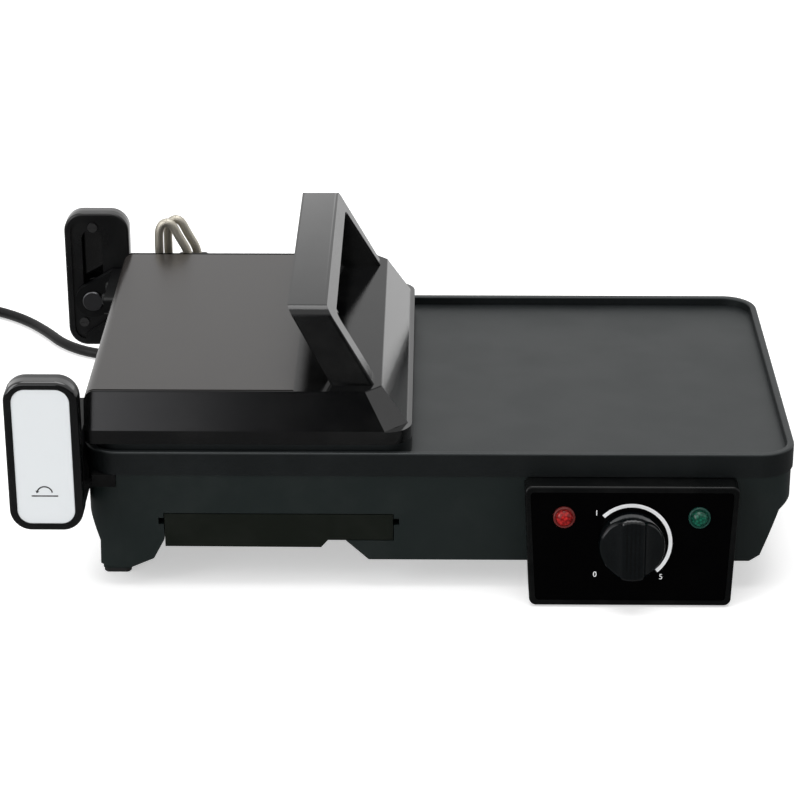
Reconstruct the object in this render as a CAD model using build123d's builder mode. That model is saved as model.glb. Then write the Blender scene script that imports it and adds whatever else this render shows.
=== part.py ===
from build123d import *
import os
from math import cos, pi, radians, sin, tan

os.makedirs("parts", exist_ok=True)

# Contact grill with a hinged lid over half of its cooking plate, in millimetres.
# +X runs to the open griddle on the right, +Y to the back, +Z up.
# The origin is the middle of the object's box, on the surface it stands on.

# Cooking plate: left end, front edge, outline and levels
PLATE_X = -180.5
PLATE_Y = -112.95
PLATE_LONG = 400.0
PLATE_DEEP = 239.0
PLATE_CORNER = 20.0
RIM_WALL = 4.0
RIM_TOP = 84.6
SKIRT_BOTTOM = 70.6
PAN_FLOOR = 79.4
PAN_THICK = 3.5
MID_X = PLATE_X + PLATE_LONG / 2
MID_Y = PLATE_Y + PLATE_DEEP / 2

# Base housing
HOUSING_INSET = 1.0
HOUSING_WALL = 4.0
HOUSING_BOTTOM = 17.7
LEDGE_Z = 50.0
COVER_THICK = 2.0
LEG_BOTTOM = 3.0

# Drip tray and its bay
TRAY_LEFT = PLATE_X + 44.8
TRAY_RIGHT = PLATE_X + 174.0
TRAY_TOP = 46.0
TRAY_BOTTOM = 30.2
TRAY_DEEP = 140.0
TRAY_WALL = 1.8
TRAY_GAP = 0.5
RAIL_Z = 40.0
RAIL_HIGH = 3.0
RAIL_WIDE = 3.0

# Control box: a leaning front face
PANEL_LEAN = 8.0
PANEL_MID_X = PLATE_X + 307.5
PANEL_MID_Y = PLATE_Y - 16.9
PANEL_MID_Z = 35.5
PANEL_TOP_WIDE = 120.0
PANEL_BOTTOM_WIDE = 113.0
PANEL_TALL = 69.8
PANEL_RIM = 3.2
FASCIA_THICK = 2.0
KNOB_UP = 2.2
KNOB_RADIUS = 18.7
KNOB_SKIRT = 5.0
KNOB_TALL = 15.0
LAMP_OUT = 37.7
LAMP_UP = 17.3
LAMP_RADIUS = 6.2

# Hinge arms, slots and pins
ARM_LEFT = PLATE_X - 39.0
ARM_WIDE = 41.2
ARM_TALL = 87.5
ARM_BOTTOM = 46.5
ARM_CORNER = 12.0
ARM_INNER = 127.0
ARM_SPLIT = 133.0
ARM_OUTER = 140.0
ARM_X = ARM_LEFT + ARM_WIDE / 2
ARM_Z = ARM_BOTTOM + ARM_TALL / 2
PIN_X = PLATE_X - 21.8
PIN_Z = 78.8
LIFT = 37.6
SLOT_WIDE = 13.0
JOURNAL_RADIUS = 4.0
LUG_RADIUS = 11.2
LUG_THICK = 5.0

# Lid
LID_LEFT = PLATE_X + 1.2
LID_RIGHT = PLATE_X + 184.6
LID_FRONT = PLATE_Y + 5.0
LID_BACK = PLATE_Y + 234.0
BAND_BOTTOM = 87.5
BEVEL_BOTTOM = 95.2
LID_TOP = 117.0
RIDGE_X = PLATE_X + 167.4
BEVEL_X = PLATE_X + 182.4
TOP_INSET = 7.0
BEVEL_INSET = 1.0
SKIN_RIGHT = PLATE_X + 118.5
SKIN_THICK = 0.8
SKIN_ROLL = 5.8
SKIN_DROP = 97.0
LID_WALL = 2.8

# Handle: a slanted loop on the lid
HANDLE_FRONT = PLATE_Y + 26.0
HANDLE_LONG = 188.0
HANDLE_TOP = 162.0
HANDLE_TOP_X = PLATE_X + 115.2
HANDLE_WIDE = 22.4
HANDLE_SLOPE = 0.525
HANDLE_LEG = 20.0
HANDLE_GRIP = 9.4

# Heating elements
ELEMENT_RADIUS = 3.25

# Cord and conduits
CORD_RADIUS = 3.5
CORD_EXIT = (PLATE_X + 62.0, PLATE_Y + 238.0, 40.0)
RELIEF_LONG = 26.0
COIL_X = PLATE_X - 175.0
COIL_Y = PLATE_Y + 373.0
COIL_Z = 4.3
COIL_OUT = 44.0
COIL_PITCH = 9.2
COIL_LAYER = 7.6
CONDUIT_RADIUS = 2.8


def rounded_box(left, right, front, back, right_corner, left_corner):
    """Draw a rectangle whose right and left corners have their own radii."""
    with Locations(((left + right) / 2, (front + back) / 2)):
        Rectangle(right - left, back - front)
    sketch = BuildSketch._get_context()
    fillet(sketch.vertices().sort_by(Axis.X)[-2:], right_corner)
    fillet(sketch.vertices().sort_by(Axis.X)[:2], left_corner)


def fillet_radii(points, share=0.45):
    """Give each corner of a route an arc as large as its two runs allow."""
    spots = [Vector(*p) for p in points]
    radii = []
    for before, at, after in zip(spots, spots[1:], spots[2:]):
        turn = (at - before).get_angle(after - at)
        shorter = min((at - before).length, (after - at).length)
        radii.append(share * shorter / tan(radians(turn) / 2))
    return radii


# Base housing: one moulding with a tunnel for the tray and a step at its right end
HOUSING_OUTLINE = [
    (0.6, SKIRT_BOTTOM),
    (0.6, 43.7),
    (7.4, 27.0),
    (7.0, 12.0),
    (25.0, 12.0),
    (38.0, 17.8),
    (44.3, 29.7),
    (147.3, 29.7),
    (160.2, HOUSING_BOTTOM),
    (376.0, HOUSING_BOTTOM),
    (381.8, 21.6),
    (391.8, 48.3),
    (398.8, 52.4),
    (398.8, SKIRT_BOTTOM),
]
HOUSING_FRONT = PLATE_Y + HOUSING_INSET
HOUSING_BACK = PLATE_Y + PLATE_DEEP - HOUSING_INSET
HOUSING_DEEP = HOUSING_BACK - HOUSING_FRONT
LEFT_LEG = (PLATE_X + 14.8, 16.6, 23.0)
RIGHT_LEG = (PLATE_X + 340.0, 20.0, 20.0)
LEFT_LEG_YS = (PLATE_Y + 28.5, PLATE_Y + 210.5)
RIGHT_LEG_YS = (PLATE_Y + 62.0, PLATE_Y + 190.0)
GRILL_SIDE = PLATE_X + 190.0
BAY_BACK = HOUSING_FRONT + TRAY_DEEP + 4.0
TAB_RIGHT = PLATE_X + 18.4
TAB_BOTTOM = 63.0

with BuildPart() as base_housing:
    with BuildSketch(Plane.XZ.offset(-HOUSING_BACK)):
        with BuildLine():
            Polyline([(PLATE_X + x, z) for x, z in HOUSING_OUTLINE], close=True)
        make_face()
    extrude(amount=HOUSING_DEEP)
    with BuildSketch(Plane.XY):
        with Locations((MID_X, MID_Y)):
            RectangleRounded(
                PLATE_LONG - 2 * HOUSING_INSET,
                PLATE_DEEP - 2 * HOUSING_INSET,
                PLATE_CORNER - HOUSING_INSET,
            )
    extrude(amount=SKIRT_BOTTOM, mode=Mode.INTERSECT)
    # Legs on the left
    with BuildSketch(Plane.XY.offset(LEG_BOTTOM)):
        with Locations(*[(LEFT_LEG[0], y) for y in LEFT_LEG_YS]):
            RectangleRounded(LEFT_LEG[1], LEFT_LEG[2], 3)
    extrude(amount=HOUSING_BOTTOM)
    # Open top for the elements and their reflectors
    with BuildSketch(Plane.XY.offset(LEDGE_Z)):
        with Locations((MID_X, MID_Y)):
            RectangleRounded(
                PLATE_LONG - 2 * HOUSING_WALL - 4,
                PLATE_DEEP - 2 * HOUSING_WALL - 2,
                PLATE_CORNER - HOUSING_WALL,
            )
    extrude(amount=SKIRT_BOTTOM - LEDGE_Z, mode=Mode.SUBTRACT)
    # Wiring space under the griddle, open below for the bottom cover
    with BuildSketch(Plane.XY.offset(HOUSING_BOTTOM)):
        rounded_box(GRILL_SIDE, PLATE_X + 372, PLATE_Y + 14, PLATE_Y + 225, 8, 8)
    extrude(amount=LEDGE_Z - HOUSING_BOTTOM, mode=Mode.SUBTRACT)
    # Tray bay with a rail groove on each side
    with BuildSketch(Plane.XZ.offset(-BAY_BACK)):
        with Locations(((TRAY_LEFT + TRAY_RIGHT) / 2, (TRAY_TOP + TRAY_BOTTOM) / 2)):
            Rectangle(TRAY_RIGHT - TRAY_LEFT + 2 * TRAY_GAP, TRAY_TOP - TRAY_BOTTOM + 2 * TRAY_GAP)
        with Locations(((TRAY_LEFT + TRAY_RIGHT) / 2, RAIL_Z + RAIL_HIGH / 2)):
            Rectangle(
                TRAY_RIGHT - TRAY_LEFT + 2 * RAIL_WIDE + 2 * TRAY_GAP,
                RAIL_HIGH + 2 * TRAY_GAP,
            )
    extrude(amount=BAY_BACK - HOUSING_FRONT + 1, mode=Mode.SUBTRACT)
    # Cable room behind the bay, reached from the wiring space
    with BuildSketch(Plane.XY.offset(TRAY_BOTTOM + 2)):
        rounded_box(PLATE_X + 14, GRILL_SIDE + 1, BAY_BACK + 4, PLATE_Y + 232, 1, 6)
    extrude(amount=LEDGE_Z - TRAY_BOTTOM - 2, mode=Mode.SUBTRACT)
    # Way for the fat from the plate's spout into the tray
    with BuildSketch(Plane.XY.offset(TRAY_TOP)):
        with Locations((PLATE_X + 110, PLATE_Y + 24)):
            SlotOverall(40, 18)
    extrude(amount=LEDGE_Z - TRAY_TOP + 1, mode=Mode.SUBTRACT)
    # Opening behind the control box, and the cord and conduit holes at the back
    with BuildSketch(Plane.XZ.offset(-(HOUSING_FRONT + 18))):
        with Locations((PANEL_MID_X, 40)):
            RectangleRounded(90, 38, 3)
    extrude(amount=20, mode=Mode.SUBTRACT)
    with BuildSketch(Plane.XZ.offset(-(HOUSING_BACK + 1))):
        with Locations((CORD_EXIT[0], CORD_EXIT[2])):
            Circle(6.1)
    extrude(amount=12, mode=Mode.SUBTRACT)
    # Notches for the hinge brackets
    with BuildSketch(Plane.XY.offset(TAB_BOTTOM)):
        for edge_y in (HOUSING_FRONT, HOUSING_BACK):
            with Locations(((PLATE_X + TAB_RIGHT) / 2, edge_y)):
                Rectangle(TAB_RIGHT - PLATE_X, 8.4)
    extrude(amount=SKIRT_BOTTOM - TAB_BOTTOM, mode=Mode.SUBTRACT)
base_housing.part.label = "base_housing"
export_step(base_housing.part, "parts/base_housing.step")

# Bottom cover under the wiring space, with rows of vent slots and the legs on the right
with BuildPart() as bottom_cover:
    with BuildSketch(Plane.XY.offset(HOUSING_BOTTOM)):
        rounded_box(GRILL_SIDE + 0.3, PLATE_X + 371.7, PLATE_Y + 14.3, PLATE_Y + 224.7, 7.7, 7.7)
        with Locations((PLATE_X + 281, MID_Y)):
            with GridLocations(0, 9, 1, 9):
                SlotOverall(70, 3.4, mode=Mode.SUBTRACT)
    extrude(amount=COVER_THICK)
    with BuildSketch(Plane.XY.offset(LEG_BOTTOM)):
        with Locations(*[(RIGHT_LEG[0], y) for y in RIGHT_LEG_YS]):
            RectangleRounded(RIGHT_LEG[1], RIGHT_LEG[2], 3)
    extrude(amount=HOUSING_BOTTOM - LEG_BOTTOM)
bottom_cover.part.label = "bottom_cover"
export_step(bottom_cover.part, "parts/bottom_cover.step")

# Rubber feet under the four legs
with BuildPart() as rubber_feet:
    with BuildSketch(Plane.XY):
        with Locations(*[(LEFT_LEG[0], y) for y in LEFT_LEG_YS]):
            RectangleRounded(LEFT_LEG[1] - 1, LEFT_LEG[2] - 1, 2.6)
        with Locations(*[(RIGHT_LEG[0], y) for y in RIGHT_LEG_YS]):
            RectangleRounded(RIGHT_LEG[1] - 1, RIGHT_LEG[2] - 1, 2.6)
    extrude(amount=LEG_BOTTOM)
    chamfer(rubber_feet.edges().group_by(Axis.Z)[0], 0.8)
rubber_feet.part.label = "rubber_feet"
export_step(rubber_feet.part, "parts/rubber_feet.step")

# Cooking plate: a rimmed casting, ribbed under the lid and flat on the right
RIB_PITCH = 13.0
RIB_COUNT = 12
RIB_BASE = 6.0
RIB_HIGH = 3.0
RIB_FRONT = PLATE_Y + 34.0
RIB_BACK = PLATE_Y + 222.0
RIB_MID_X = PLATE_X + 95.0
DRAIN = (PLATE_X + 110.0, PLATE_Y + 24.0)

with BuildPart() as lower_plate:
    with BuildSketch(Plane.XY.offset(SKIRT_BOTTOM)):
        with Locations((MID_X, MID_Y)):
            RectangleRounded(PLATE_LONG, PLATE_DEEP, PLATE_CORNER)
    extrude(amount=RIM_TOP - SKIRT_BOTTOM)
    with BuildSketch(Plane.XY.offset(PAN_FLOOR)):
        with Locations((MID_X, MID_Y)):
            RectangleRounded(
                PLATE_LONG - 2 * RIM_WALL, PLATE_DEEP - 2 * RIM_WALL, PLATE_CORNER - RIM_WALL
            )
    extrude(amount=RIM_TOP - PAN_FLOOR, mode=Mode.SUBTRACT)
    with BuildSketch(Plane.XY.offset(SKIRT_BOTTOM)):
        with Locations((MID_X, MID_Y)):
            RectangleRounded(
                PLATE_LONG - 2 * RIM_WALL, PLATE_DEEP - 2 * RIM_WALL, PLATE_CORNER - RIM_WALL
            )
    extrude(amount=PAN_FLOOR - PAN_THICK - SKIRT_BOTTOM, mode=Mode.SUBTRACT)
    fillet(lower_plate.edges().group_by(Axis.Z)[-1], 1.2)
    with BuildSketch(Plane.XZ.offset(-RIB_BACK)):
        with Locations((RIB_MID_X, PAN_FLOOR + RIB_HIGH / 2)):
            with GridLocations(RIB_PITCH, 0, RIB_COUNT, 1):
                Trapezoid(RIB_BASE, RIB_HIGH, 62)
    extrude(amount=RIB_BACK - RIB_FRONT)
    with BuildSketch(Plane.XY.offset(PAN_FLOOR - PAN_THICK - 12)):
        with Locations(DRAIN):
            SlotOverall(30, 12)
    extrude(amount=12)
    with BuildSketch(Plane.XY.offset(PAN_FLOOR)):
        with Locations(DRAIN):
            SlotOverall(26, 8)
    extrude(amount=-PAN_THICK - 13, mode=Mode.SUBTRACT)
lower_plate.part.label = "lower_plate"
export_step(lower_plate.part, "parts/lower_plate.step")


def element_route(left, right, front, back, z):
    """Lay a heating rod in four legs that begin and end at the back."""
    step = (right - left) / 3
    return [
        (left, back, z),
        (left, front, z),
        (left + step, front, z),
        (left + step, back - 34, z),
        (right - step, back - 34, z),
        (right - step, front, z),
        (right, front, z),
        (right, back, z),
    ]


# Heating rods: one under each half of the plate and one in the lid
ELEMENTS = {
    "lower_grill_element": (28, 172, 58, 226, PAN_FLOOR - PAN_THICK - ELEMENT_RADIUS),
    "griddle_element": (212, 380, 34, 226, PAN_FLOOR - PAN_THICK - ELEMENT_RADIUS),
    "upper_element": (28, 160, 34, 214, BAND_BOTTOM + ELEMENT_RADIUS),
}
for element_name, (left, right, front, back, z) in ELEMENTS.items():
    route = element_route(
        PLATE_X + left, PLATE_X + right, PLATE_Y + front, PLATE_Y + back, z
    )
    with BuildPart() as element:
        with BuildLine() as rod_line:
            FilletPolyline(route, radius=16)
        with BuildSketch(Plane(origin=route[0], z_dir=(0, -1, 0))):
            Circle(ELEMENT_RADIUS)
        sweep(path=rod_line.wires()[0])
    element.part.label = element_name
    export_step(element.part, f"parts/{element_name}.step")

# Reflector trays under the rods, standing on the housing's ledge
REFLECTOR_TALL = 14.0
REFLECTORS = {"grill_reflector": (9.0, 188.0), "griddle_reflector": (192.0, 391.0)}
for reflector_name, (left, right) in REFLECTORS.items():
    with BuildPart() as reflector:
        with BuildSketch(Plane.XY.offset(LEDGE_Z)):
            rounded_box(PLATE_X + left, PLATE_X + right, PLATE_Y + 8, PLATE_Y + 231, 10, 10)
        extrude(amount=REFLECTOR_TALL)
        offset(amount=-0.8, openings=reflector.faces().sort_by(Axis.Z)[-1])
        if reflector_name == "grill_reflector":
            with BuildSketch(Plane.XY.offset(LEDGE_Z)):
                with Locations(DRAIN):
                    SlotOverall(36, 16)
            extrude(amount=2, mode=Mode.SUBTRACT)
    reflector.part.label = reflector_name
    export_step(reflector.part, f"parts/{reflector_name}.step")

# Terminal block in the cable room
with BuildPart() as terminal_block:
    with BuildSketch(Plane.XY.offset(TRAY_BOTTOM + 2)):
        with Locations((PLATE_X + 100, PLATE_Y + 200)):
            Rectangle(44, 18)
    extrude(amount=14)
    with BuildSketch(Plane.XY.offset(TRAY_BOTTOM + 16)):
        with Locations((PLATE_X + 100, PLATE_Y + 200)):
            with GridLocations(14, 9, 3, 2):
                Circle(2)
    extrude(amount=-6, mode=Mode.SUBTRACT)
terminal_block.part.label = "terminal_block"
export_step(terminal_block.part, "parts/terminal_block.step")

# Drip tray: an open pan with side runners and a front that hangs lower on its left
with BuildPart() as drip_tray:
    with BuildSketch(Plane.XY.offset(TRAY_BOTTOM)):
        rounded_box(TRAY_LEFT, TRAY_RIGHT, HOUSING_FRONT, HOUSING_FRONT + TRAY_DEEP, 1, 1)
    extrude(amount=TRAY_TOP - TRAY_BOTTOM - 0.6)
    offset(amount=-TRAY_WALL, openings=drip_tray.faces().sort_by(Axis.Z)[-1])
    with BuildSketch(Plane.XZ.offset(-(HOUSING_FRONT + TRAY_WALL))):
        with BuildLine():
            Polyline(
                (TRAY_LEFT, TRAY_TOP),
                (TRAY_LEFT, 25.6),
                (PLATE_X + 133.2, 25.3),
                (PLATE_X + 137.2, 29.9),
                (PLATE_X + 147.3, 29.9),
                (PLATE_X + 148.0, TRAY_BOTTOM),
                (TRAY_RIGHT, TRAY_BOTTOM),
                (TRAY_RIGHT, TRAY_TOP),
                close=True,
            )
        make_face()
    extrude(amount=TRAY_WALL)
    for side_x in (TRAY_LEFT - RAIL_WIDE / 2, TRAY_RIGHT + RAIL_WIDE / 2):
        with BuildSketch(Plane.XY.offset(RAIL_Z)):
            with Locations((side_x, HOUSING_FRONT + 6 + (TRAY_DEEP - 8) / 2)):
                Rectangle(RAIL_WIDE, TRAY_DEEP - 8)
        extrude(amount=RAIL_HIGH)
drip_tray.part.label = "drip_tray"
export_step(drip_tray.part, "parts/drip_tray.step")

# Control box: a leaning, tapered shell on the front of the housing
PANEL_OUT = (0, -cos(radians(PANEL_LEAN)), sin(radians(PANEL_LEAN)))
PANEL = Plane(
    origin=(PANEL_MID_X, PANEL_MID_Y, PANEL_MID_Z), x_dir=(1, 0, 0), z_dir=PANEL_OUT
)
BOX_TOP = SKIRT_BOTTOM - 0.4
BOX_BOTTOM = 0.8


def panel_outline(inset, corner):
    """Draw the panel's tapered outline, drawn in by an inset."""
    half_tall = PANEL_TALL / 2 - inset
    half_top = PANEL_TOP_WIDE / 2 - inset
    half_bottom = PANEL_BOTTOM_WIDE / 2 - inset
    Polygon(
        (-half_top, half_tall),
        (-half_bottom, -half_tall),
        (half_bottom, -half_tall),
        (half_top, half_tall),
        align=None,
    )
    fillet(BuildSketch._get_context().vertices(), corner)


with BuildPart() as control_box:
    lean = tan(radians(PANEL_LEAN))
    with BuildSketch(Plane.YZ.offset(PANEL_MID_X - PANEL_TOP_WIDE / 2)):
        with BuildLine():
            Polyline(
                (PANEL_MID_Y + lean * (BOX_TOP - PANEL_MID_Z), BOX_TOP),
                (PANEL_MID_Y + lean * (BOX_BOTTOM - PANEL_MID_Z), BOX_BOTTOM),
                (HOUSING_FRONT, BOX_BOTTOM),
                (HOUSING_FRONT, BOX_TOP),
                close=True,
            )
        make_face()
    extrude(amount=PANEL_TOP_WIDE)
    with BuildSketch(Plane.XZ.offset(-HOUSING_FRONT)):
        Polygon(
            (PANEL_MID_X - PANEL_TOP_WIDE / 2, BOX_TOP),
            (PANEL_MID_X - PANEL_BOTTOM_WIDE / 2, BOX_BOTTOM),
            (PANEL_MID_X + PANEL_BOTTOM_WIDE / 2, BOX_BOTTOM),
            (PANEL_MID_X + PANEL_TOP_WIDE / 2, BOX_TOP),
            align=None,
        )
        fillet(BuildSketch._get_context().vertices(), 4)
    extrude(amount=60, mode=Mode.INTERSECT)
    fillet(control_box.faces().sort_by(Axis((0, 0, 0), PANEL_OUT))[-1].edges(), 1.2)
    with BuildSketch(PANEL):
        panel_outline(PANEL_RIM, 2)
    extrude(amount=-FASCIA_THICK - 0.5, mode=Mode.SUBTRACT)
    with BuildSketch(PANEL.offset(-5)):
        panel_outline(5.0, 2)
    extrude(amount=-30, mode=Mode.SUBTRACT)
    with BuildSketch(PANEL):
        with Locations((0, KNOB_UP)):
            Circle(5.2)
        with Locations((-LAMP_OUT, LAMP_UP), (LAMP_OUT, LAMP_UP)):
            Circle(4.2)
    extrude(amount=-8, mode=Mode.SUBTRACT)
control_box.part.label = "control_box"
export_step(control_box.part, "parts/control_box.step")

# Fascia let into the front of the control box
with BuildPart() as control_fascia:
    with BuildSketch(PANEL.offset(-0.5)):
        panel_outline(PANEL_RIM + 0.15, 1.9)
        with Locations((0, KNOB_UP)):
            Circle(4.6, mode=Mode.SUBTRACT)
        with Locations((-LAMP_OUT, LAMP_UP), (LAMP_OUT, LAMP_UP)):
            Circle(4.2, mode=Mode.SUBTRACT)
    extrude(amount=-FASCIA_THICK)
control_fascia.part.label = "control_fascia"
export_step(control_fascia.part, "parts/control_fascia.step")

# Lamp lenses: a stepped dome with a stem through the panel
for lamp_name, lamp_x in (("power_lamp_lens", -LAMP_OUT), ("ready_lamp_lens", LAMP_OUT)):
    lamp_plane = Plane(PANEL.offset(-0.5).from_local_coords(Vector(lamp_x, LAMP_UP, 0)),
                       x_dir=(1, 0, 0), z_dir=PANEL_OUT)
    side_plane = Plane(lamp_plane.origin, x_dir=(1, 0, 0), z_dir=-lamp_plane.y_dir)
    with BuildPart() as lamp_lens:
        with BuildSketch(side_plane):
            with BuildLine():
                Polyline((0, 4.4), (2.2, 4.1))
                ThreePointArc((2.2, 4.1), (4.6, 2.9), (5.6, 1.0))
                Polyline((5.6, 1.0), (LAMP_RADIUS, 1.0), (LAMP_RADIUS, 0), (4.0, 0), (4.0, -9), (0, -9), (0, 4.4))
            make_face()
        revolve(axis=Axis(lamp_plane.origin, PANEL_OUT))
    lamp_lens.part.label = lamp_name
    export_step(lamp_lens.part, f"parts/{lamp_name}.step")

# Lamp holders behind the lenses
with BuildPart() as lamp_holders:
    with BuildSketch(PANEL.offset(-9.5)):
        with Locations((-LAMP_OUT, LAMP_UP), (LAMP_OUT, LAMP_UP)):
            Circle(4.0)
    extrude(amount=-7)
lamp_holders.part.label = "lamp_holders"
export_step(lamp_holders.part, "parts/lamp_holders.step")

# Thermostat behind the panel, with the bush that its shaft turns in
with BuildPart() as thermostat_body:
    with BuildSketch(PANEL.offset(-5)):
        with Locations((0, KNOB_UP)):
            RectangleRounded(30, 22, 2)
    extrude(amount=-16)
    with BuildSketch(PANEL.offset(-5)):
        with Locations((0, KNOB_UP)):
            Circle(4.9)
    extrude(amount=2.4)
    with BuildSketch(PANEL.offset(-2.6)):
        with Locations((0, KNOB_UP)):
            Circle(3.05)
    extrude(amount=-12, mode=Mode.SUBTRACT)
thermostat_body.part.label = "thermostat_body"
export_step(thermostat_body.part, "parts/thermostat_body.step")

# Shaft and knob turn together
with BuildPart() as thermostat_shaft:
    with BuildSketch(PANEL.offset(-13)):
        with Locations((0, KNOB_UP)):
            Circle(3.0)
    extrude(amount=13 + 9)
    with BuildSketch(PANEL.offset(1)):
        with Locations((0, KNOB_UP + 3.0)):
            Rectangle(6, 1.6)
    extrude(amount=8, mode=Mode.SUBTRACT)
thermostat_shaft.part.label = "thermostat_shaft"
export_step(thermostat_shaft.part, "parts/thermostat_shaft.step")

GRIP_WIDE = 11.0
GRIP_RIDGES = 5
with BuildPart() as control_knob:
    with BuildSketch(PANEL.offset(0.4)):
        with Locations((0, KNOB_UP)):
            Circle(KNOB_RADIUS)
    extrude(amount=KNOB_SKIRT, taper=3)
    with BuildSketch(PANEL.offset(0.4 + KNOB_SKIRT)):
        with Locations((0, KNOB_UP)):
            Circle(KNOB_RADIUS - 1.0)
    extrude(amount=2.0, taper=30)
    with BuildSketch(PANEL.offset(0.4 + KNOB_SKIRT)):
        with Locations((0, KNOB_UP)):
            RectangleRounded(GRIP_WIDE, 2 * KNOB_RADIUS - 3.4, 5)
    extrude(amount=KNOB_TALL - KNOB_SKIRT - 0.4, taper=4)
    fillet(control_knob.faces().sort_by(Axis((0, 0, 0), PANEL_OUT))[-1].edges(), 1.0)
    with BuildSketch(PANEL.offset(KNOB_TALL - 0.6)):
        with Locations((0, KNOB_UP)):
            with GridLocations(1.7, 0, GRIP_RIDGES, 1):
                Rectangle(0.7, 24)
    extrude(amount=2, mode=Mode.SUBTRACT)
    with BuildSketch(PANEL.offset(0.4)):
        with Locations((0, KNOB_UP)):
            Circle(3.05)
    extrude(amount=9, mode=Mode.SUBTRACT)
control_knob.part.label = "control_knob"
export_step(control_knob.part, "parts/control_knob.step")


def side_plane(distance, side):
    """Stand a sketch plane at a distance from the middle, facing outwards."""
    return Plane(origin=(0, MID_Y + side * distance, 0), x_dir=(1, 0, 0), z_dir=(0, side, 0))


def on_side(x, z, side):
    """Turn a place in X and Z into one on such a plane."""
    return (x, -side * z)


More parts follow.
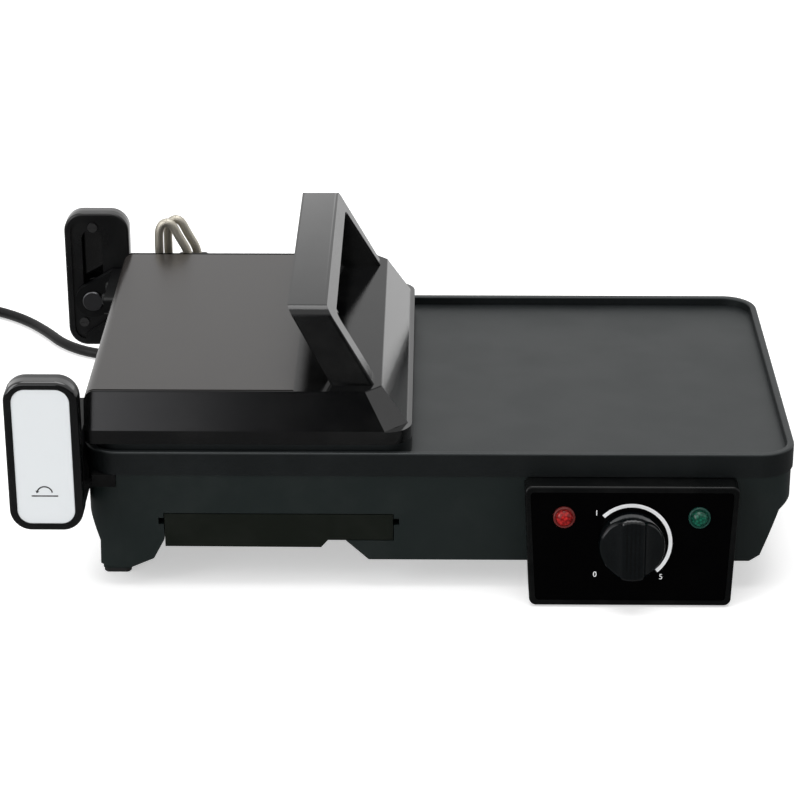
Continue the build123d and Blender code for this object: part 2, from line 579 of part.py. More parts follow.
# Hinge arms, brackets, pins and lugs, the same at the front and at the back
for end_name, side in (("front", -1), ("rear", 1)):
    middle = on_side(ARM_X, ARM_Z, side)
    slot_middle = on_side(PIN_X, PIN_Z + LIFT / 2, side)
    pin_spot = on_side(PIN_X, PIN_Z, side)
    with BuildPart() as arm_outer:
        with BuildSketch(side_plane(ARM_SPLIT, side)):
            with Locations(middle):
                RectangleRounded(ARM_WIDE, ARM_TALL, ARM_CORNER)
        extrude(amount=ARM_OUTER - ARM_SPLIT)
        fillet(arm_outer.faces().sort_by(Axis.Y)[0 if side < 0 else -1].edges(), 2.2)
        with BuildSketch(side_plane(ARM_OUTER, side)):
            with Locations(middle):
                RectangleRounded(32.4, 79.0, 8)
        extrude(amount=-1.4, mode=Mode.SUBTRACT)
        with BuildSketch(side_plane(ARM_SPLIT, side)):
            with Locations(middle):
                RectangleRounded(ARM_WIDE - 5, ARM_TALL - 5, ARM_CORNER - 2.5)
        extrude(amount=4.0, mode=Mode.SUBTRACT)
    arm_outer.part.label = f"{end_name}_arm_outer"
    export_step(arm_outer.part, f"parts/{end_name}_arm_outer.step")

    with BuildPart() as arm_plate:
        with BuildSketch(side_plane(ARM_OUTER - 1.4, side)):
            with Locations(middle):
                RectangleRounded(32.0, 78.6, 7.8)
        extrude(amount=0.9)
    arm_plate.part.label = f"{end_name}_arm_plate"
    export_step(arm_plate.part, f"parts/{end_name}_arm_plate.step")

    with BuildPart() as arm_inner:
        with BuildSketch(side_plane(ARM_INNER, side)):
            with Locations(middle):
                RectangleRounded(ARM_WIDE, ARM_TALL, ARM_CORNER)
        extrude(amount=ARM_SPLIT - ARM_INNER)
        fillet(arm_inner.faces().sort_by(Axis.Y)[-1 if side < 0 else 0].edges(), 1.6)
        with BuildSketch(side_plane(ARM_INNER, side)):
            with Locations(middle):
                RectangleRounded(ARM_WIDE - 8, ARM_TALL - 8, ARM_CORNER - 4)
        extrude(amount=1.5, mode=Mode.SUBTRACT)
        with BuildSketch(side_plane(ARM_INNER, side)):
            with Locations(slot_middle):
                SlotOverall(LIFT + SLOT_WIDE, SLOT_WIDE, rotation=90)
        extrude(amount=ARM_SPLIT - ARM_INNER, mode=Mode.SUBTRACT)
    arm_inner.part.label = f"{end_name}_arm_inner"
    export_step(arm_inner.part, f"parts/{end_name}_arm_inner.step")

    # Cranked bracket from the arm into the housing's notch
    with BuildPart() as bracket:
        with BuildSketch(side_plane(ARM_INNER - 3.0, side)):
            with BuildLine():
                Polyline(
                    on_side(PLATE_X - 28, 49, side),
                    on_side(PLATE_X + 0, 49, side),
                    on_side(PLATE_X + 0, 66.5, side),
                    on_side(PLATE_X - 10, 66.5, side),
                    on_side(PLATE_X - 28, 54, side),
                    close=True,
                )
            make_face()
        extrude(amount=3.0)
        with BuildSketch(Plane.XY.offset(TAB_BOTTOM + 0.2)):
            with BuildLine():
                Polyline(
                    (PLATE_X - 2, MID_Y + side * ARM_INNER),
                    (PLATE_X + 1, MID_Y + side * ARM_INNER),
                    (PLATE_X + 5, MID_Y + side * (PLATE_DEEP / 2 - 0.2)),
                    (PLATE_X + 18.2, MID_Y + side * (PLATE_DEEP / 2 - 0.2)),
                    (PLATE_X + 18.2, MID_Y + side * (PLATE_DEEP / 2 - 5.0)),
                    (PLATE_X + 2.5, MID_Y + side * (PLATE_DEEP / 2 - 5.0)),
                    (PLATE_X - 2, MID_Y + side * (ARM_INNER - 3.0)),
                    close=True,
                )
            make_face()
        extrude(amount=66.5 - TAB_BOTTOM - 0.2)
        with BuildSketch(Plane.XY.offset(66.5)):
            with Locations((PLATE_X + 11.6, MID_Y + side * (PLATE_DEEP / 2 - 2.6))):
                Rectangle(13.2, 4.8)
        extrude(amount=SKIRT_BOTTOM - 66.5)
    bracket.part.label = f"{end_name}_hinge_bracket"
    export_step(bracket.part, f"parts/{end_name}_hinge_bracket.step")

    # Hinge pin: head, journal, slider and flange in one turned piece
    with BuildPart() as hinge_pin:
        with BuildSketch(side_plane(ARM_INNER - 7.4, side)):
            with Locations(pin_spot):
                Circle(6.5)
        extrude(amount=1.6)
        with BuildSketch(side_plane(ARM_INNER - 7.4, side)):
            with Locations(pin_spot):
                Circle(JOURNAL_RADIUS)
        extrude(amount=8)
        with BuildSketch(side_plane(ARM_INNER - 0.2, side)):
            with Locations(pin_spot):
                Circle(SLOT_WIDE / 2 - 0.2)
        extrude(amount=ARM_SPLIT - ARM_INNER + 0.4)
        with BuildSketch(side_plane(ARM_SPLIT + 0.2, side)):
            with Locations(pin_spot):
                Circle(8.5)
        extrude(amount=2.4)
        chamfer(hinge_pin.faces().sort_by(Axis.Y)[0 if side > 0 else -1].edges(), 0.5)
    hinge_pin.part.label = f"{end_name}_hinge_pin"
    export_step(hinge_pin.part, f"parts/{end_name}_hinge_pin.step")

    # Lug on the lid's left side: a boss round the pin, a web and a foot
    LUG_FOOT_LEFT = PLATE_X - 9.0
    LUG_FOOT_LOW = 88.0
    LUG_FOOT_HIGH = 106.0
    with BuildPart() as lug:
        with BuildSketch(side_plane(ARM_INNER - 0.5 - LUG_THICK, side)):
            with Locations(pin_spot):
                Circle(LUG_RADIUS)
            with Locations(on_side((LUG_FOOT_LEFT + LID_LEFT) / 2, (LUG_FOOT_LOW + LUG_FOOT_HIGH) / 2, side)):
                Rectangle(LID_LEFT - LUG_FOOT_LEFT, LUG_FOOT_HIGH - LUG_FOOT_LOW)
            make_hull()
        extrude(amount=LUG_THICK)
        with BuildSketch(Plane.YZ.offset(LUG_FOOT_LEFT)):
            with Locations((MID_Y + side * (ARM_INNER - 0.5 - 26), (LUG_FOOT_LOW + LUG_FOOT_HIGH) / 2)):
                RectangleRounded(52, LUG_FOOT_HIGH - LUG_FOOT_LOW, 3)
        extrude(amount=LID_LEFT - LUG_FOOT_LEFT)
        with BuildSketch(side_plane(ARM_INNER - 0.5 - LUG_THICK, side)):
            with Locations(pin_spot):
                Circle(JOURNAL_RADIUS + 0.05)
        extrude(amount=LUG_THICK, mode=Mode.SUBTRACT)
    lug.part.label = f"{end_name}_lid_lug"
    export_step(lug.part, f"parts/{end_name}_lid_lug.step")

# Screws on the arms' inner faces and on the lugs' feet
ARM_SCREWS = [(PLATE_X - 20.9, 126.2), (PLATE_X - 29.0, 61.5)]
with BuildPart() as arm_screws:
    for side in (-1, 1):
        with BuildSketch(side_plane(ARM_INNER + 1.5, side)):
            with Locations(*[on_side(x, z, side) for x, z in ARM_SCREWS]):
                Circle(3.1)
                Rectangle(4.2, 0.9, mode=Mode.SUBTRACT)
        extrude(amount=-1.1)
        with BuildSketch(side_plane(ARM_INNER + 1.5, side)):
            with Locations(*[on_side(x, z, side) for x, z in ARM_SCREWS]):
                Circle(3.1)
        extrude(amount=-0.5)
arm_screws.part.label = "arm_screws"
export_step(arm_screws.part, "parts/arm_screws.step")

LUG_SCREW_YS = (88.0, 108.0)
with BuildPart() as lug_screws:
    with BuildSketch(Plane.YZ.offset(PLATE_X - 9.0)):
        for side in (-1, 1):
            with Locations(*[(MID_Y + side * y, 97.0) for y in LUG_SCREW_YS]):
                Circle(3.6)
    extrude(amount=-2.4)
    fillet(lug_screws.faces().group_by(Axis.X)[0].edges(), 1.0)
lug_screws.part.label = "lug_screws"
export_step(lug_screws.part, "parts/lug_screws.step")

# Upper plate under the lid: ribs over the lower ones, inside a low rim
with BuildPart() as upper_plate:
    with BuildSketch(Plane.XY.offset(PAN_FLOOR + 0.8)):
        rounded_box(PLATE_X + 5.5, LID_RIGHT, LID_FRONT, LID_BACK, 14, 15)
    extrude(amount=BAND_BOTTOM - PAN_FLOOR - 0.8)
    with BuildSketch(Plane.XY.offset(PAN_FLOOR + 0.8)):
        rounded_box(PLATE_X + 10.5, LID_RIGHT - 5, LID_FRONT + 5, LID_BACK - 5, 9, 10)
    extrude(amount=4.6, mode=Mode.SUBTRACT)
    with BuildSketch(Plane.XZ.offset(-RIB_BACK)):
        with Locations((RIB_MID_X, PAN_FLOOR + RIB_HIGH + 0.6 + 1.2)):
            with GridLocations(RIB_PITCH, 0, RIB_COUNT, 1):
                Trapezoid(RIB_BASE, 2.4, 62, rotation=180)
    extrude(amount=RIB_BACK - RIB_FRONT)
upper_plate.part.label = "upper_plate"
export_step(upper_plate.part, "parts/upper_plate.step")

# Steel skin over the left part of the lid's top, rolled down over its left edge
with BuildPart() as lid_top_skin:
    with BuildSketch(Plane.XZ.offset(-(LID_BACK - TOP_INSET - 0.6))):
        with BuildLine():
            Polyline(
                (SKIN_RIGHT, LID_TOP),
                (LID_LEFT, LID_TOP),
                (LID_LEFT, SKIN_DROP),
                (LID_LEFT + SKIN_THICK, SKIN_DROP),
                (LID_LEFT + SKIN_THICK, LID_TOP - SKIN_THICK),
                (SKIN_RIGHT, LID_TOP - SKIN_THICK),
                (SKIN_RIGHT, LID_TOP),
            )
        make_face()
        fillet(BuildSketch._get_context().vertices().sort_by_distance((LID_LEFT, LID_TOP))[0], SKIN_ROLL)
        inner_corner = (LID_LEFT + SKIN_THICK, LID_TOP - SKIN_THICK)
        fillet(
            BuildSketch._get_context().vertices().sort_by_distance(inner_corner)[0],
            SKIN_ROLL - SKIN_THICK,
        )
    extrude(amount=LID_BACK - LID_FRONT - 2 * TOP_INSET - 1.2)
lid_top_skin.part.label = "lid_top_skin"
export_step(lid_top_skin.part, "parts/lid_top_skin.step")


def lid_section(left, right, front, back, cut):
    """Draw one level of the lid's bevelled top, its right corners cut off."""
    Polygon(
        (left, front),
        (right - cut, front),
        (right, front + cut),
        (right, back - cut),
        (right - cut, back),
        (left, back),
        align=None,
    )


# Lid cover: an upright band, a bevelled top and a hollow underside
with BuildPart() as lid_cover:
    with BuildSketch(Plane.XY.offset(BAND_BOTTOM)):
        rounded_box(LID_LEFT, LID_RIGHT, LID_FRONT, LID_BACK, 14, 3)
    extrude(amount=BEVEL_BOTTOM - BAND_BOTTOM)
    with BuildSketch(Plane.XY.offset(BEVEL_BOTTOM)):
        lid_section(LID_LEFT, BEVEL_X, LID_FRONT + BEVEL_INSET, LID_BACK - BEVEL_INSET, 13)
    with BuildSketch(Plane.XY.offset(LID_TOP)):
        lid_section(LID_LEFT, RIDGE_X, LID_FRONT + TOP_INSET, LID_BACK - TOP_INSET, 9)
    loft(ruled=True)
    top_edges = lid_cover.edges().filter_by(Axis.Y).group_by(Axis.Z)[-1].sort_by(Axis.X)
    fillet(top_edges[0], SKIN_ROLL)
    with BuildSketch(Plane.XY.offset(BAND_BOTTOM)):
        rounded_box(
            LID_LEFT + LID_WALL, LID_RIGHT - LID_WALL - 2.4,
            LID_FRONT + LID_WALL + 1, LID_BACK - LID_WALL - 1, 11, 2,
        )
    extrude(amount=BEVEL_BOTTOM - BAND_BOTTOM, mode=Mode.SUBTRACT)
    with BuildSketch(Plane.XY.offset(BEVEL_BOTTOM)):
        lid_section(
            LID_LEFT + LID_WALL + 1, BEVEL_X - LID_WALL - 2,
            LID_FRONT + LID_WALL + 2, LID_BACK - LID_WALL - 2, 12,
        )
    with BuildSketch(Plane.XY.offset(LID_TOP - LID_WALL)):
        lid_section(
            LID_LEFT + LID_WALL + 5, RIDGE_X - LID_WALL - 2,
            LID_FRONT + TOP_INSET + LID_WALL, LID_BACK - TOP_INSET - LID_WALL, 8,
        )
    loft(ruled=True, mode=Mode.SUBTRACT)
    add(lid_top_skin.part, mode=Mode.SUBTRACT)
lid_cover.part.label = "lid_cover"
export_step(lid_cover.part, "parts/lid_cover.step")

# Reflector sheet in the lid, on two folded side walls
with BuildPart() as lid_reflector:
    with BuildSketch(Plane.XZ.offset(-(LID_BACK - 12))):
        with BuildLine() as sheet_line:
            Polyline(
                (PLATE_X + 12, BAND_BOTTOM),
                (PLATE_X + 12, BAND_BOTTOM + 12),
                (PLATE_X + 168, BAND_BOTTOM + 12),
                (PLATE_X + 168, BAND_BOTTOM),
            )
            offset(amount=0.8, side=Side.RIGHT)
        make_face()
    extrude(amount=LID_BACK - LID_FRONT - 24)
lid_reflector.part.label = "lid_reflector"
export_step(lid_reflector.part, "parts/lid_reflector.step")

# Handle: a slanted loop, its grip across the top and its two legs on the lid
with BuildPart() as lid_handle:
    run_out = HANDLE_SLOPE * (HANDLE_TOP - LID_TOP)
    with BuildSketch(Plane.XZ.offset(-(HANDLE_FRONT + HANDLE_LONG))):
        with BuildLine():
            Polyline(
                (HANDLE_TOP_X, HANDLE_TOP),
                (HANDLE_TOP_X + run_out, LID_TOP),
                (HANDLE_TOP_X + HANDLE_WIDE + run_out, LID_TOP),
                (HANDLE_TOP_X + HANDLE_WIDE, HANDLE_TOP),
                close=True,
            )
        make_face()
    extrude(amount=HANDLE_LONG)
    with BuildSketch(Plane.YZ.offset(HANDLE_TOP_X - 5)):
        with Locations((HANDLE_FRONT + HANDLE_LONG / 2, (LID_TOP + HANDLE_TOP - HANDLE_GRIP) / 2 - 5)):
            Rectangle(HANDLE_LONG - 2 * HANDLE_LEG, HANDLE_TOP - HANDLE_GRIP - LID_TOP + 10)
            fillet(BuildSketch._get_context().vertices().group_by(Axis.Y)[-1], 7)
    extrude(amount=HANDLE_WIDE + run_out + 10, mode=Mode.SUBTRACT)
    outer_edges = lid_handle.edges().filter_by(Axis.Y).group_by(Axis.Z)[-1]
    fillet(outer_edges, 2.5)
lid_handle.part.label = "lid_handle"
export_step(lid_handle.part, "parts/lid_handle.step")

# Conduits: two braided pipes in one arch from the base to the lid
CONDUIT_ROWS = {"front_conduit": (0.0, 129.9 - 7.0), "rear_conduit": (5.2, 129.0)}
CONDUIT_LEFT = PLATE_X + 21.8
CONDUIT_FOOT = 48.0
CONDUIT_END = 108.0
CONDUIT_CROWN = 131.5
for conduit_name, (shift, out) in CONDUIT_ROWS.items():
    conduit_y = MID_Y + out
    foot_x = CONDUIT_LEFT + shift
    conduit_route = [
        (foot_x, conduit_y, CONDUIT_FOOT),
        (foot_x, conduit_y, CONDUIT_CROWN),
        (foot_x + 11.5, conduit_y, CONDUIT_CROWN),
        (foot_x + 18.5, conduit_y, CONDUIT_END + 4),
        (foot_x + 18.5, conduit_y, CONDUIT_END),
    ]
    with BuildPart() as conduit:
        with BuildLine() as conduit_line:
            FilletPolyline(conduit_route, radius=[5.6, 5.2, 8.0])
        with BuildSketch(Plane(origin=conduit_route[0], z_dir=(0, 0, 1))):
            Circle(CONDUIT_RADIUS)
        sweep(path=conduit_line.wires()[0])
    conduit.part.label = conduit_name
    export_step(conduit.part, f"parts/{conduit_name}.step")

with BuildPart() as base_conduit_gland:
    with BuildSketch(Plane.XY.offset(CONDUIT_FOOT - 18)):
        with Locations((CONDUIT_LEFT + 2.6, (HOUSING_BACK + MID_Y + 133.5) / 2)):
            RectangleRounded(18, MID_Y + 133.5 - HOUSING_BACK, 2.5)
    extrude(amount=18)
base_conduit_gland.part.label = "base_conduit_gland"
export_step(base_conduit_gland.part, "parts/base_conduit_gland.step")

with BuildPart() as lid_conduit_gland:
    with BuildSketch(Plane.XY.offset(BAND_BOTTOM + 1)):
        with Locations((CONDUIT_LEFT + 21.1, (LID_BACK + MID_Y + 133.5) / 2)):
            RectangleRounded(18, MID_Y + 133.5 - LID_BACK, 2.5)
    extrude(amount=CONDUIT_END - BAND_BOTTOM - 1)
lid_conduit_gland.part.label = "lid_conduit_gland"
export_step(lid_conduit_gland.part, "parts/lid_conduit_gland.step")

# Strain relief of the mains cord
relief_plane = Plane(origin=(CORD_EXIT[0], HOUSING_BACK - HOUSING_WALL, CORD_EXIT[2]),
                     x_dir=(1, 0, 0), z_dir=(0, 1, 0))
with BuildPart() as strain_relief:
    with BuildSketch(relief_plane):
        Circle(6.0)
    extrude(amount=HOUSING_WALL)
    with BuildSketch(relief_plane.offset(HOUSING_WALL)):
        Circle(7.5)
    extrude(amount=2)
    with BuildSketch(relief_plane.offset(HOUSING_WALL + 2)):
        Circle(6.0)
    with BuildSketch(relief_plane.offset(HOUSING_WALL + RELIEF_LONG)):
        Circle(4.3)
    loft()
strain_relief.part.label = "strain_relief"
export_step(strain_relief.part, "parts/strain_relief.step")

# Mains cord: from the strain relief down to the table, past the back corner and off to the left
relief_end = HOUSING_BACK + RELIEF_LONG
LEAD_IN = Vector(-7, 0, 0)
CORD_ROUTE = [
    (CORD_EXIT[0], relief_end, CORD_EXIT[2]),
    (CORD_EXIT[0], relief_end + 24, CORD_EXIT[2]),
    (PLATE_X + 57, PLATE_Y + 314, 27),
    (PLATE_X + 39, PLATE_Y + 331, 13),
    (PLATE_X + 13, PLATE_Y + 335, 3.6),
    (PLATE_X - 13, PLATE_Y + 328, 3.6),
    (PLATE_X - 36, PLATE_Y + 331, 3.6),
    (PLATE_X - 58, PLATE_Y + 347, 3.6),
    (PLATE_X - 72, PLATE_Y + 369, 3.6),
    (PLATE_X - 90, PLATE_Y + 391, 3.6),
    (PLATE_X - 113, PLATE_Y + 408, 3.7),
    (COIL_X + 35, COIL_Y + COIL_OUT, COIL_Z),
    (COIL_X + 7, COIL_Y + COIL_OUT, COIL_Z),
]
cord_radii = fillet_radii(CORD_ROUTE)
print("cord radii", [round(r, 1) for r in cord_radii])
start_run = Vector(*CORD_ROUTE[1]) - Vector(*CORD_ROUTE[0])
with BuildPart() as mains_cord:
    with BuildLine() as cord_line:
        FilletPolyline(CORD_ROUTE, radius=cord_radii)
    with BuildSketch(Plane(origin=CORD_ROUTE[0], z_dir=start_run)):
        Circle(CORD_RADIUS)
    sweep(path=cord_line.wires()[0])
cord_length = cord_line.wires()[0].length
print("cord length", round(cord_length, 1))
print("cord volume share", round(mains_cord.part.volume / (cord_length * pi * CORD_RADIUS**2), 4))
mains_cord.part.label = "mains_cord"
export_step(mains_cord.part, "parts/mains_cord.step")

# Coil of the spare cord: in on the lower layer, up one layer, and out again
IN_HALVES = 3
OUT_HALVES = 4
coil_reach = [COIL_OUT - k * COIL_PITCH / 2 for k in range(IN_HALVES + 1)]
coil_reach += [coil_reach[-1] + k * COIL_PITCH / 2 for k in range(OUT_HALVES + 1)]
coil_spots = []
for k, reach in enumerate(coil_reach):
    way = 1 if k % 2 == 0 else -1
    level = COIL_Z if k <= IN_HALVES else COIL_Z + COIL_LAYER
    coil_spots.append(Vector(COIL_X, COIL_Y + way * reach, level))
with BuildPart() as mains_cord_coil:
    with BuildLine() as coil_line:
        Line(coil_spots[0] - LEAD_IN, coil_spots[0])
        for k, (here, there) in enumerate(zip(coil_spots, coil_spots[1:])):
            heading = Vector(-1, 0, 0) if k % 2 == 0 else Vector(1, 0, 0)
            halfway = (here + there) * 0.5 + heading * ((there - here).length / 2)
            quarter = TangentArc(here, halfway, tangent=heading)
            TangentArc(halfway, there, tangent=quarter % 1)
        Line(coil_spots[-1], coil_spots[-1] + LEAD_IN)
    with BuildSketch(Plane(origin=coil_spots[0] - LEAD_IN, z_dir=LEAD_IN)):
        Circle(CORD_RADIUS)
    sweep(path=coil_line.wires()[0])
coil_wire = coil_line.wires()[0]
coil_length = coil_wire.length
print("coil length", round(coil_length, 1))
print("coil volume share", round(mains_cord_coil.part.volume / (coil_length * pi * CORD_RADIUS**2), 4))
coil_points = [coil_wire @ (k / 700) for k in range(701)]
coil_step = coil_length / 700
apart = min(
    (coil_points[a] - coil_points[b]).length
    for a in range(0, 701, 2)
    for b in range(a + int(60 / coil_step), 701, 2)
)
print("coil least gap to itself", round(apart - 2 * CORD_RADIUS, 2))
mains_cord_coil.part.label = "mains_cord_coil"
export_step(mains_cord_coil.part, "parts/mains_cord_coil.step")

# Tie round the coil's turns on the side near the grill
TIE_WIDE = 6.0
tie_low, tie_high = 0.05, COIL_Z + COIL_LAYER + CORD_RADIUS + 0.8
tie_near, tie_far = COIL_Y - 48.6, COIL_Y - 25.6
with BuildPart() as cord_tie:
    with BuildSketch(Plane.YZ.offset(COIL_X - TIE_WIDE / 2)):
        with Locations(((tie_near + tie_far) / 2, (tie_low + tie_high) / 2)):
            RectangleRounded(tie_far - tie_near, tie_high - tie_low, 3.0)
            RectangleRounded(tie_far - tie_near - 1.4, tie_high - tie_low - 1.4, 2.3, mode=Mode.SUBTRACT)
    extrude(amount=TIE_WIDE)
cord_tie.part.label = "cord_tie"
export_step(cord_tie.part, "parts/cord_tie.step")

# Plug: a flat round body on its back, its two pins up, the cord coming in from the side
PLUG_RADIUS = 19.0
PLUG_TALL = 22.0
plug_end = coil_spots[-1] + LEAD_IN
plug_x = plug_end.X - 22 - PLUG_RADIUS
with BuildPart() as plug_body:
    with BuildSketch(Plane.XY.offset(0)):
        with Locations((plug_x, plug_end.Y)):
            Circle(PLUG_RADIUS)
            with Locations((0, PLUG_RADIUS), (0, -PLUG_RADIUS)):
                Rectangle(8, 4, mode=Mode.SUBTRACT)
    extrude(amount=PLUG_TALL)
    chamfer(plug_body.faces().sort_by(Axis.Z)[0].edges(), 1.5)
    with BuildSketch(Plane(origin=plug_end, z_dir=LEAD_IN)):
        Circle(4.4)
    with BuildSketch(Plane(origin=plug_end - Vector(26, 0, 0), z_dir=LEAD_IN)):
        Circle(7.5)
    loft()
plug_body.part.label = "plug_body"
export_step(plug_body.part, "parts/plug_body.step")

with BuildPart() as plug_pins:
    with BuildSketch(Plane.XY.offset(PLUG_TALL)):
        with Locations((plug_x, plug_end.Y)):
            with GridLocations(19, 0, 2, 1):
                Circle(2.4)
    extrude(amount=19)
    fillet(plug_pins.faces().group_by(Axis.Z)[-1].edges(), 1.2)
plug_pins.part.label = "plug_pins"
export_step(plug_pins.part, "parts/plug_pins.step")
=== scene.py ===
"""Looks of a contact grill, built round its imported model, in metres."""

import logging
import math
from bisect import bisect_left
from dataclasses import dataclass
from enum import Enum
from itertools import accumulate
from typing import Callable, Iterable, Sequence

import bmesh
import bpy
from bmesh.types import BMFace, BMVert, BMesh
from bpy.types import ID, Material, Mesh, Node, NodeOutputs, NodeSocket, NodeTree, Object, World
from mathutils import Matrix, Vector


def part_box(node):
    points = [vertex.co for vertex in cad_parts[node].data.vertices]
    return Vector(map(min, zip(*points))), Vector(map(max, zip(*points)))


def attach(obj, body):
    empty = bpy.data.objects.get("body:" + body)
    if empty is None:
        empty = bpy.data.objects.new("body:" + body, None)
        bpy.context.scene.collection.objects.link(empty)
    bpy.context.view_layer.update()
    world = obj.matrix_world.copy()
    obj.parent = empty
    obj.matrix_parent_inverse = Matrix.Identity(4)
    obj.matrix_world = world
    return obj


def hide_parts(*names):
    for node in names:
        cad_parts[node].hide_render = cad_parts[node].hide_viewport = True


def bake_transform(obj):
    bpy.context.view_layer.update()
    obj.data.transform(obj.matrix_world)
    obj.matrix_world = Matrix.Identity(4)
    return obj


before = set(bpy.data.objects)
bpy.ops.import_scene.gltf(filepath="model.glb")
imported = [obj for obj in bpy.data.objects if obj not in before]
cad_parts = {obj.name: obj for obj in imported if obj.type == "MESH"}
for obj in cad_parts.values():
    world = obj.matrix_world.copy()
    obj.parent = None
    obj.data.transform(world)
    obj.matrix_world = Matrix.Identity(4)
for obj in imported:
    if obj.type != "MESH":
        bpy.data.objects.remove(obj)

LOG = logging.getLogger("contact_grill")
MM = 0.001
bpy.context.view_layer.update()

# The plate's front left corner and the grill's middle line, in millimetres.
PLATE_X = -180.5
PLATE_Y = -112.95
MIDDLE_Y = PLATE_Y + 119.5
WHITE = (1.0, 1.0, 1.0, 1.0)

Point = tuple[float, float, float]
Colour = tuple[float, float, float]
Value = NodeSocket | float | Sequence[float]


class Body(str, Enum):
    """The rigid bodies that pieces ride on."""

    BASE = "base"
    KNOB = "control_knob"
    PINS = "hinge_pins"
    LID = "lid"


class Slot(str, Enum):
    """The record's material slots, handed along with new pieces; nothing here reads them."""

    CORD = "cord_black"
    BRAID = "braid"
    FASCIA = "fascia"
    GLOSS = "gloss_black"
    KNOB = "knob_black"
    RED = "lens_red"
    GREEN = "lens_green"
    ARM = "arm_black"
    ARM_PLATE = "arm_plate"
    BRACKET = "bracket_black"
    SCREW = "screw_steel"
    SKIN = "dark_steel"


@dataclass
class Graph:
    """A small builder for one node tree."""

    tree: NodeTree

    def put(self, socket: NodeSocket, value: Value) -> None:
        """Link a socket to an input, or set a plain value on it.

        Args:
            socket: The input.
            value: The socket to link, or the value to set.
        """
        if isinstance(value, NodeSocket):
            self.tree.links.new(value, socket)
        else:
            socket.default_value = value

    def feed(self, node: Node, *values: Value, **inputs: Value) -> Node:
        """Set or link inputs of a node.

        Args:
            node: The node to feed.
            *values: Values or sockets for its first inputs, in their order.
            **inputs: Values or sockets by input name, with _ for a space.

        Returns:
            The same node.
        """
        for number, value in enumerate(values):
            self.put(node.inputs[number], value)
        for name, value in inputs.items():
            self.put(node.inputs[name.replace("_", " ")], value)
        return node

    def add(self, kind: str, *values: Value, settings: dict | None = None, **inputs: Value) -> Node:
        """Add a node and set or link its inputs.

        Args:
            kind: The node's type name after "ShaderNode", or its whole name.
            *values: Values or sockets for its first inputs, in their order.
            settings: Values of the node's own properties.
            **inputs: Values or sockets by input name, with _ for a space.

        Returns:
            The new node.
        """
        node = self.tree.nodes.new(kind if kind.startswith("Node") else f"ShaderNode{kind}")
        for key, value in (settings or {}).items():
            setattr(node, key, value)
        return self.feed(node, *values, **inputs)

    def split(self, vector: NodeSocket) -> NodeOutputs:
        """Return the X, Y and Z sockets of a vector."""
        return self.add("SeparateXYZ", vector).outputs

    def places(self, kind: str) -> NodeSocket:
        """Return one output of the Texture Coordinate node."""
        return self.add("TexCoord").outputs[kind]

    def math(self, operation: str, first: Value, second: Value) -> NodeSocket:
        """Return the result of one operation on two values or sockets."""
        return self.add("Math", first, second, settings={"operation": operation}).outputs[0]

    def choose(self, factor: Value, first: NodeSocket, second: NodeSocket) -> NodeSocket:
        """Mix two shaders: the first where the factor is 0, the second where it is 1."""
        return self.add("MixShader", factor, first, second).outputs[0]

    def mix(self, factor: Value, first: Value, second: Value) -> NodeSocket:
        """Mix two colours.

        Args:
            factor: The second colour's share.
            first: The colour where the factor is 0.
            second: The colour where it is 1.

        Returns:
            The mixed colour.
        """
        node = self.add("Mix", factor, settings={"data_type": "RGBA"})
        for socket, colour in zip(node.inputs[6:8], (first, second)):
            self.put(socket, colour)
        return node.outputs[2]

    def ramp(self, value: Value, low: float, high: float, start: float = 0.0, end: float = 1.0) -> NodeSocket:
        """Map a value smoothly, from start at low to end at high, and hold it outside."""
        smooth = {"interpolation_type": "SMOOTHSTEP"}
        return self.add("MapRange", value, low, high, start, end, settings=smooth).outputs["Result"]


def rgba(colour: Colour) -> tuple[float, float, float, float]:
    """Add a full alpha to a colour."""
    return (*colour, 1.0)


def emptied(owner: Material | World) -> Graph:
    """Switch an owner's nodes on and clear them.

    Args:
        owner: The material or the world.

    Returns:
        A builder for its tree.
    """
    owner.use_nodes = True
    owner.node_tree.nodes.clear()
    return Graph(owner.node_tree)


class Effect:
    """A shader node group with named sockets, built once and placed in many materials."""

    title = "effect"
    inputs: dict[str, str] = {}
    outputs: dict[str, str] = {}

    def tree(self) -> NodeTree:
        """Build the group's tree at its first use.

        Returns:
            The tree.
        """
        found = bpy.data.node_groups.get(self.title)
        if found:
            return found
        tree = bpy.data.node_groups.new(self.title, "ShaderNodeTree")
        for way, sockets in (("INPUT", self.inputs), ("OUTPUT", self.outputs)):
            for name, kind in sockets.items():
                tree.interface.new_socket(name, in_out=way, socket_type=f"NodeSocket{kind}")
        graph = Graph(tree)
        self.wire(graph, graph.add("NodeGroupInput").outputs, graph.add("NodeGroupOutput"))
        return tree

    def wire(self, graph: Graph, source: NodeOutputs, target: Node) -> None:
        """Fill the group's tree, from its input node's sockets to its output node."""
        raise NotImplementedError

    def place(self, graph: Graph, **inputs: Value) -> Node:
        """Put the group into a material and return its node."""
        return graph.add("Group", settings={"node_tree": self.tree()}, **inputs)


class MouldGrain(Effect):
    """Fine texture of a moulded or sprayed surface: small pits and a slightly uneven gloss."""

    title = "mould_grain"
    inputs = {"Vector": "Vector", "Scale": "Float", "Mean Roughness": "Float", "Spread": "Float"}
    outputs = {"Roughness": "Float", "Height": "Float"}

    def wire(self, graph: Graph, source: NodeOutputs, target: Node) -> None:
        """Fill the group.

        Args:
            graph: The builder for its tree.
            source: The sockets of its input node.
            target: Its output node.
        """
        fine = graph.add("TexNoise", Vector=source["Vector"], Scale=source["Scale"], Detail=4.0)
        wide = graph.add("TexNoise", Vector=source["Vector"], Scale=24.0, Detail=3.0)
        swing = graph.math("SUBTRACT", graph.ramp(wide.outputs["Fac"], 0.3, 0.7), 0.5)
        change = graph.math("MULTIPLY", swing, source["Spread"])
        roughness = graph.math("ADD", source["Mean Roughness"], change)
        graph.feed(target, Roughness=roughness, Height=fine.outputs["Fac"])


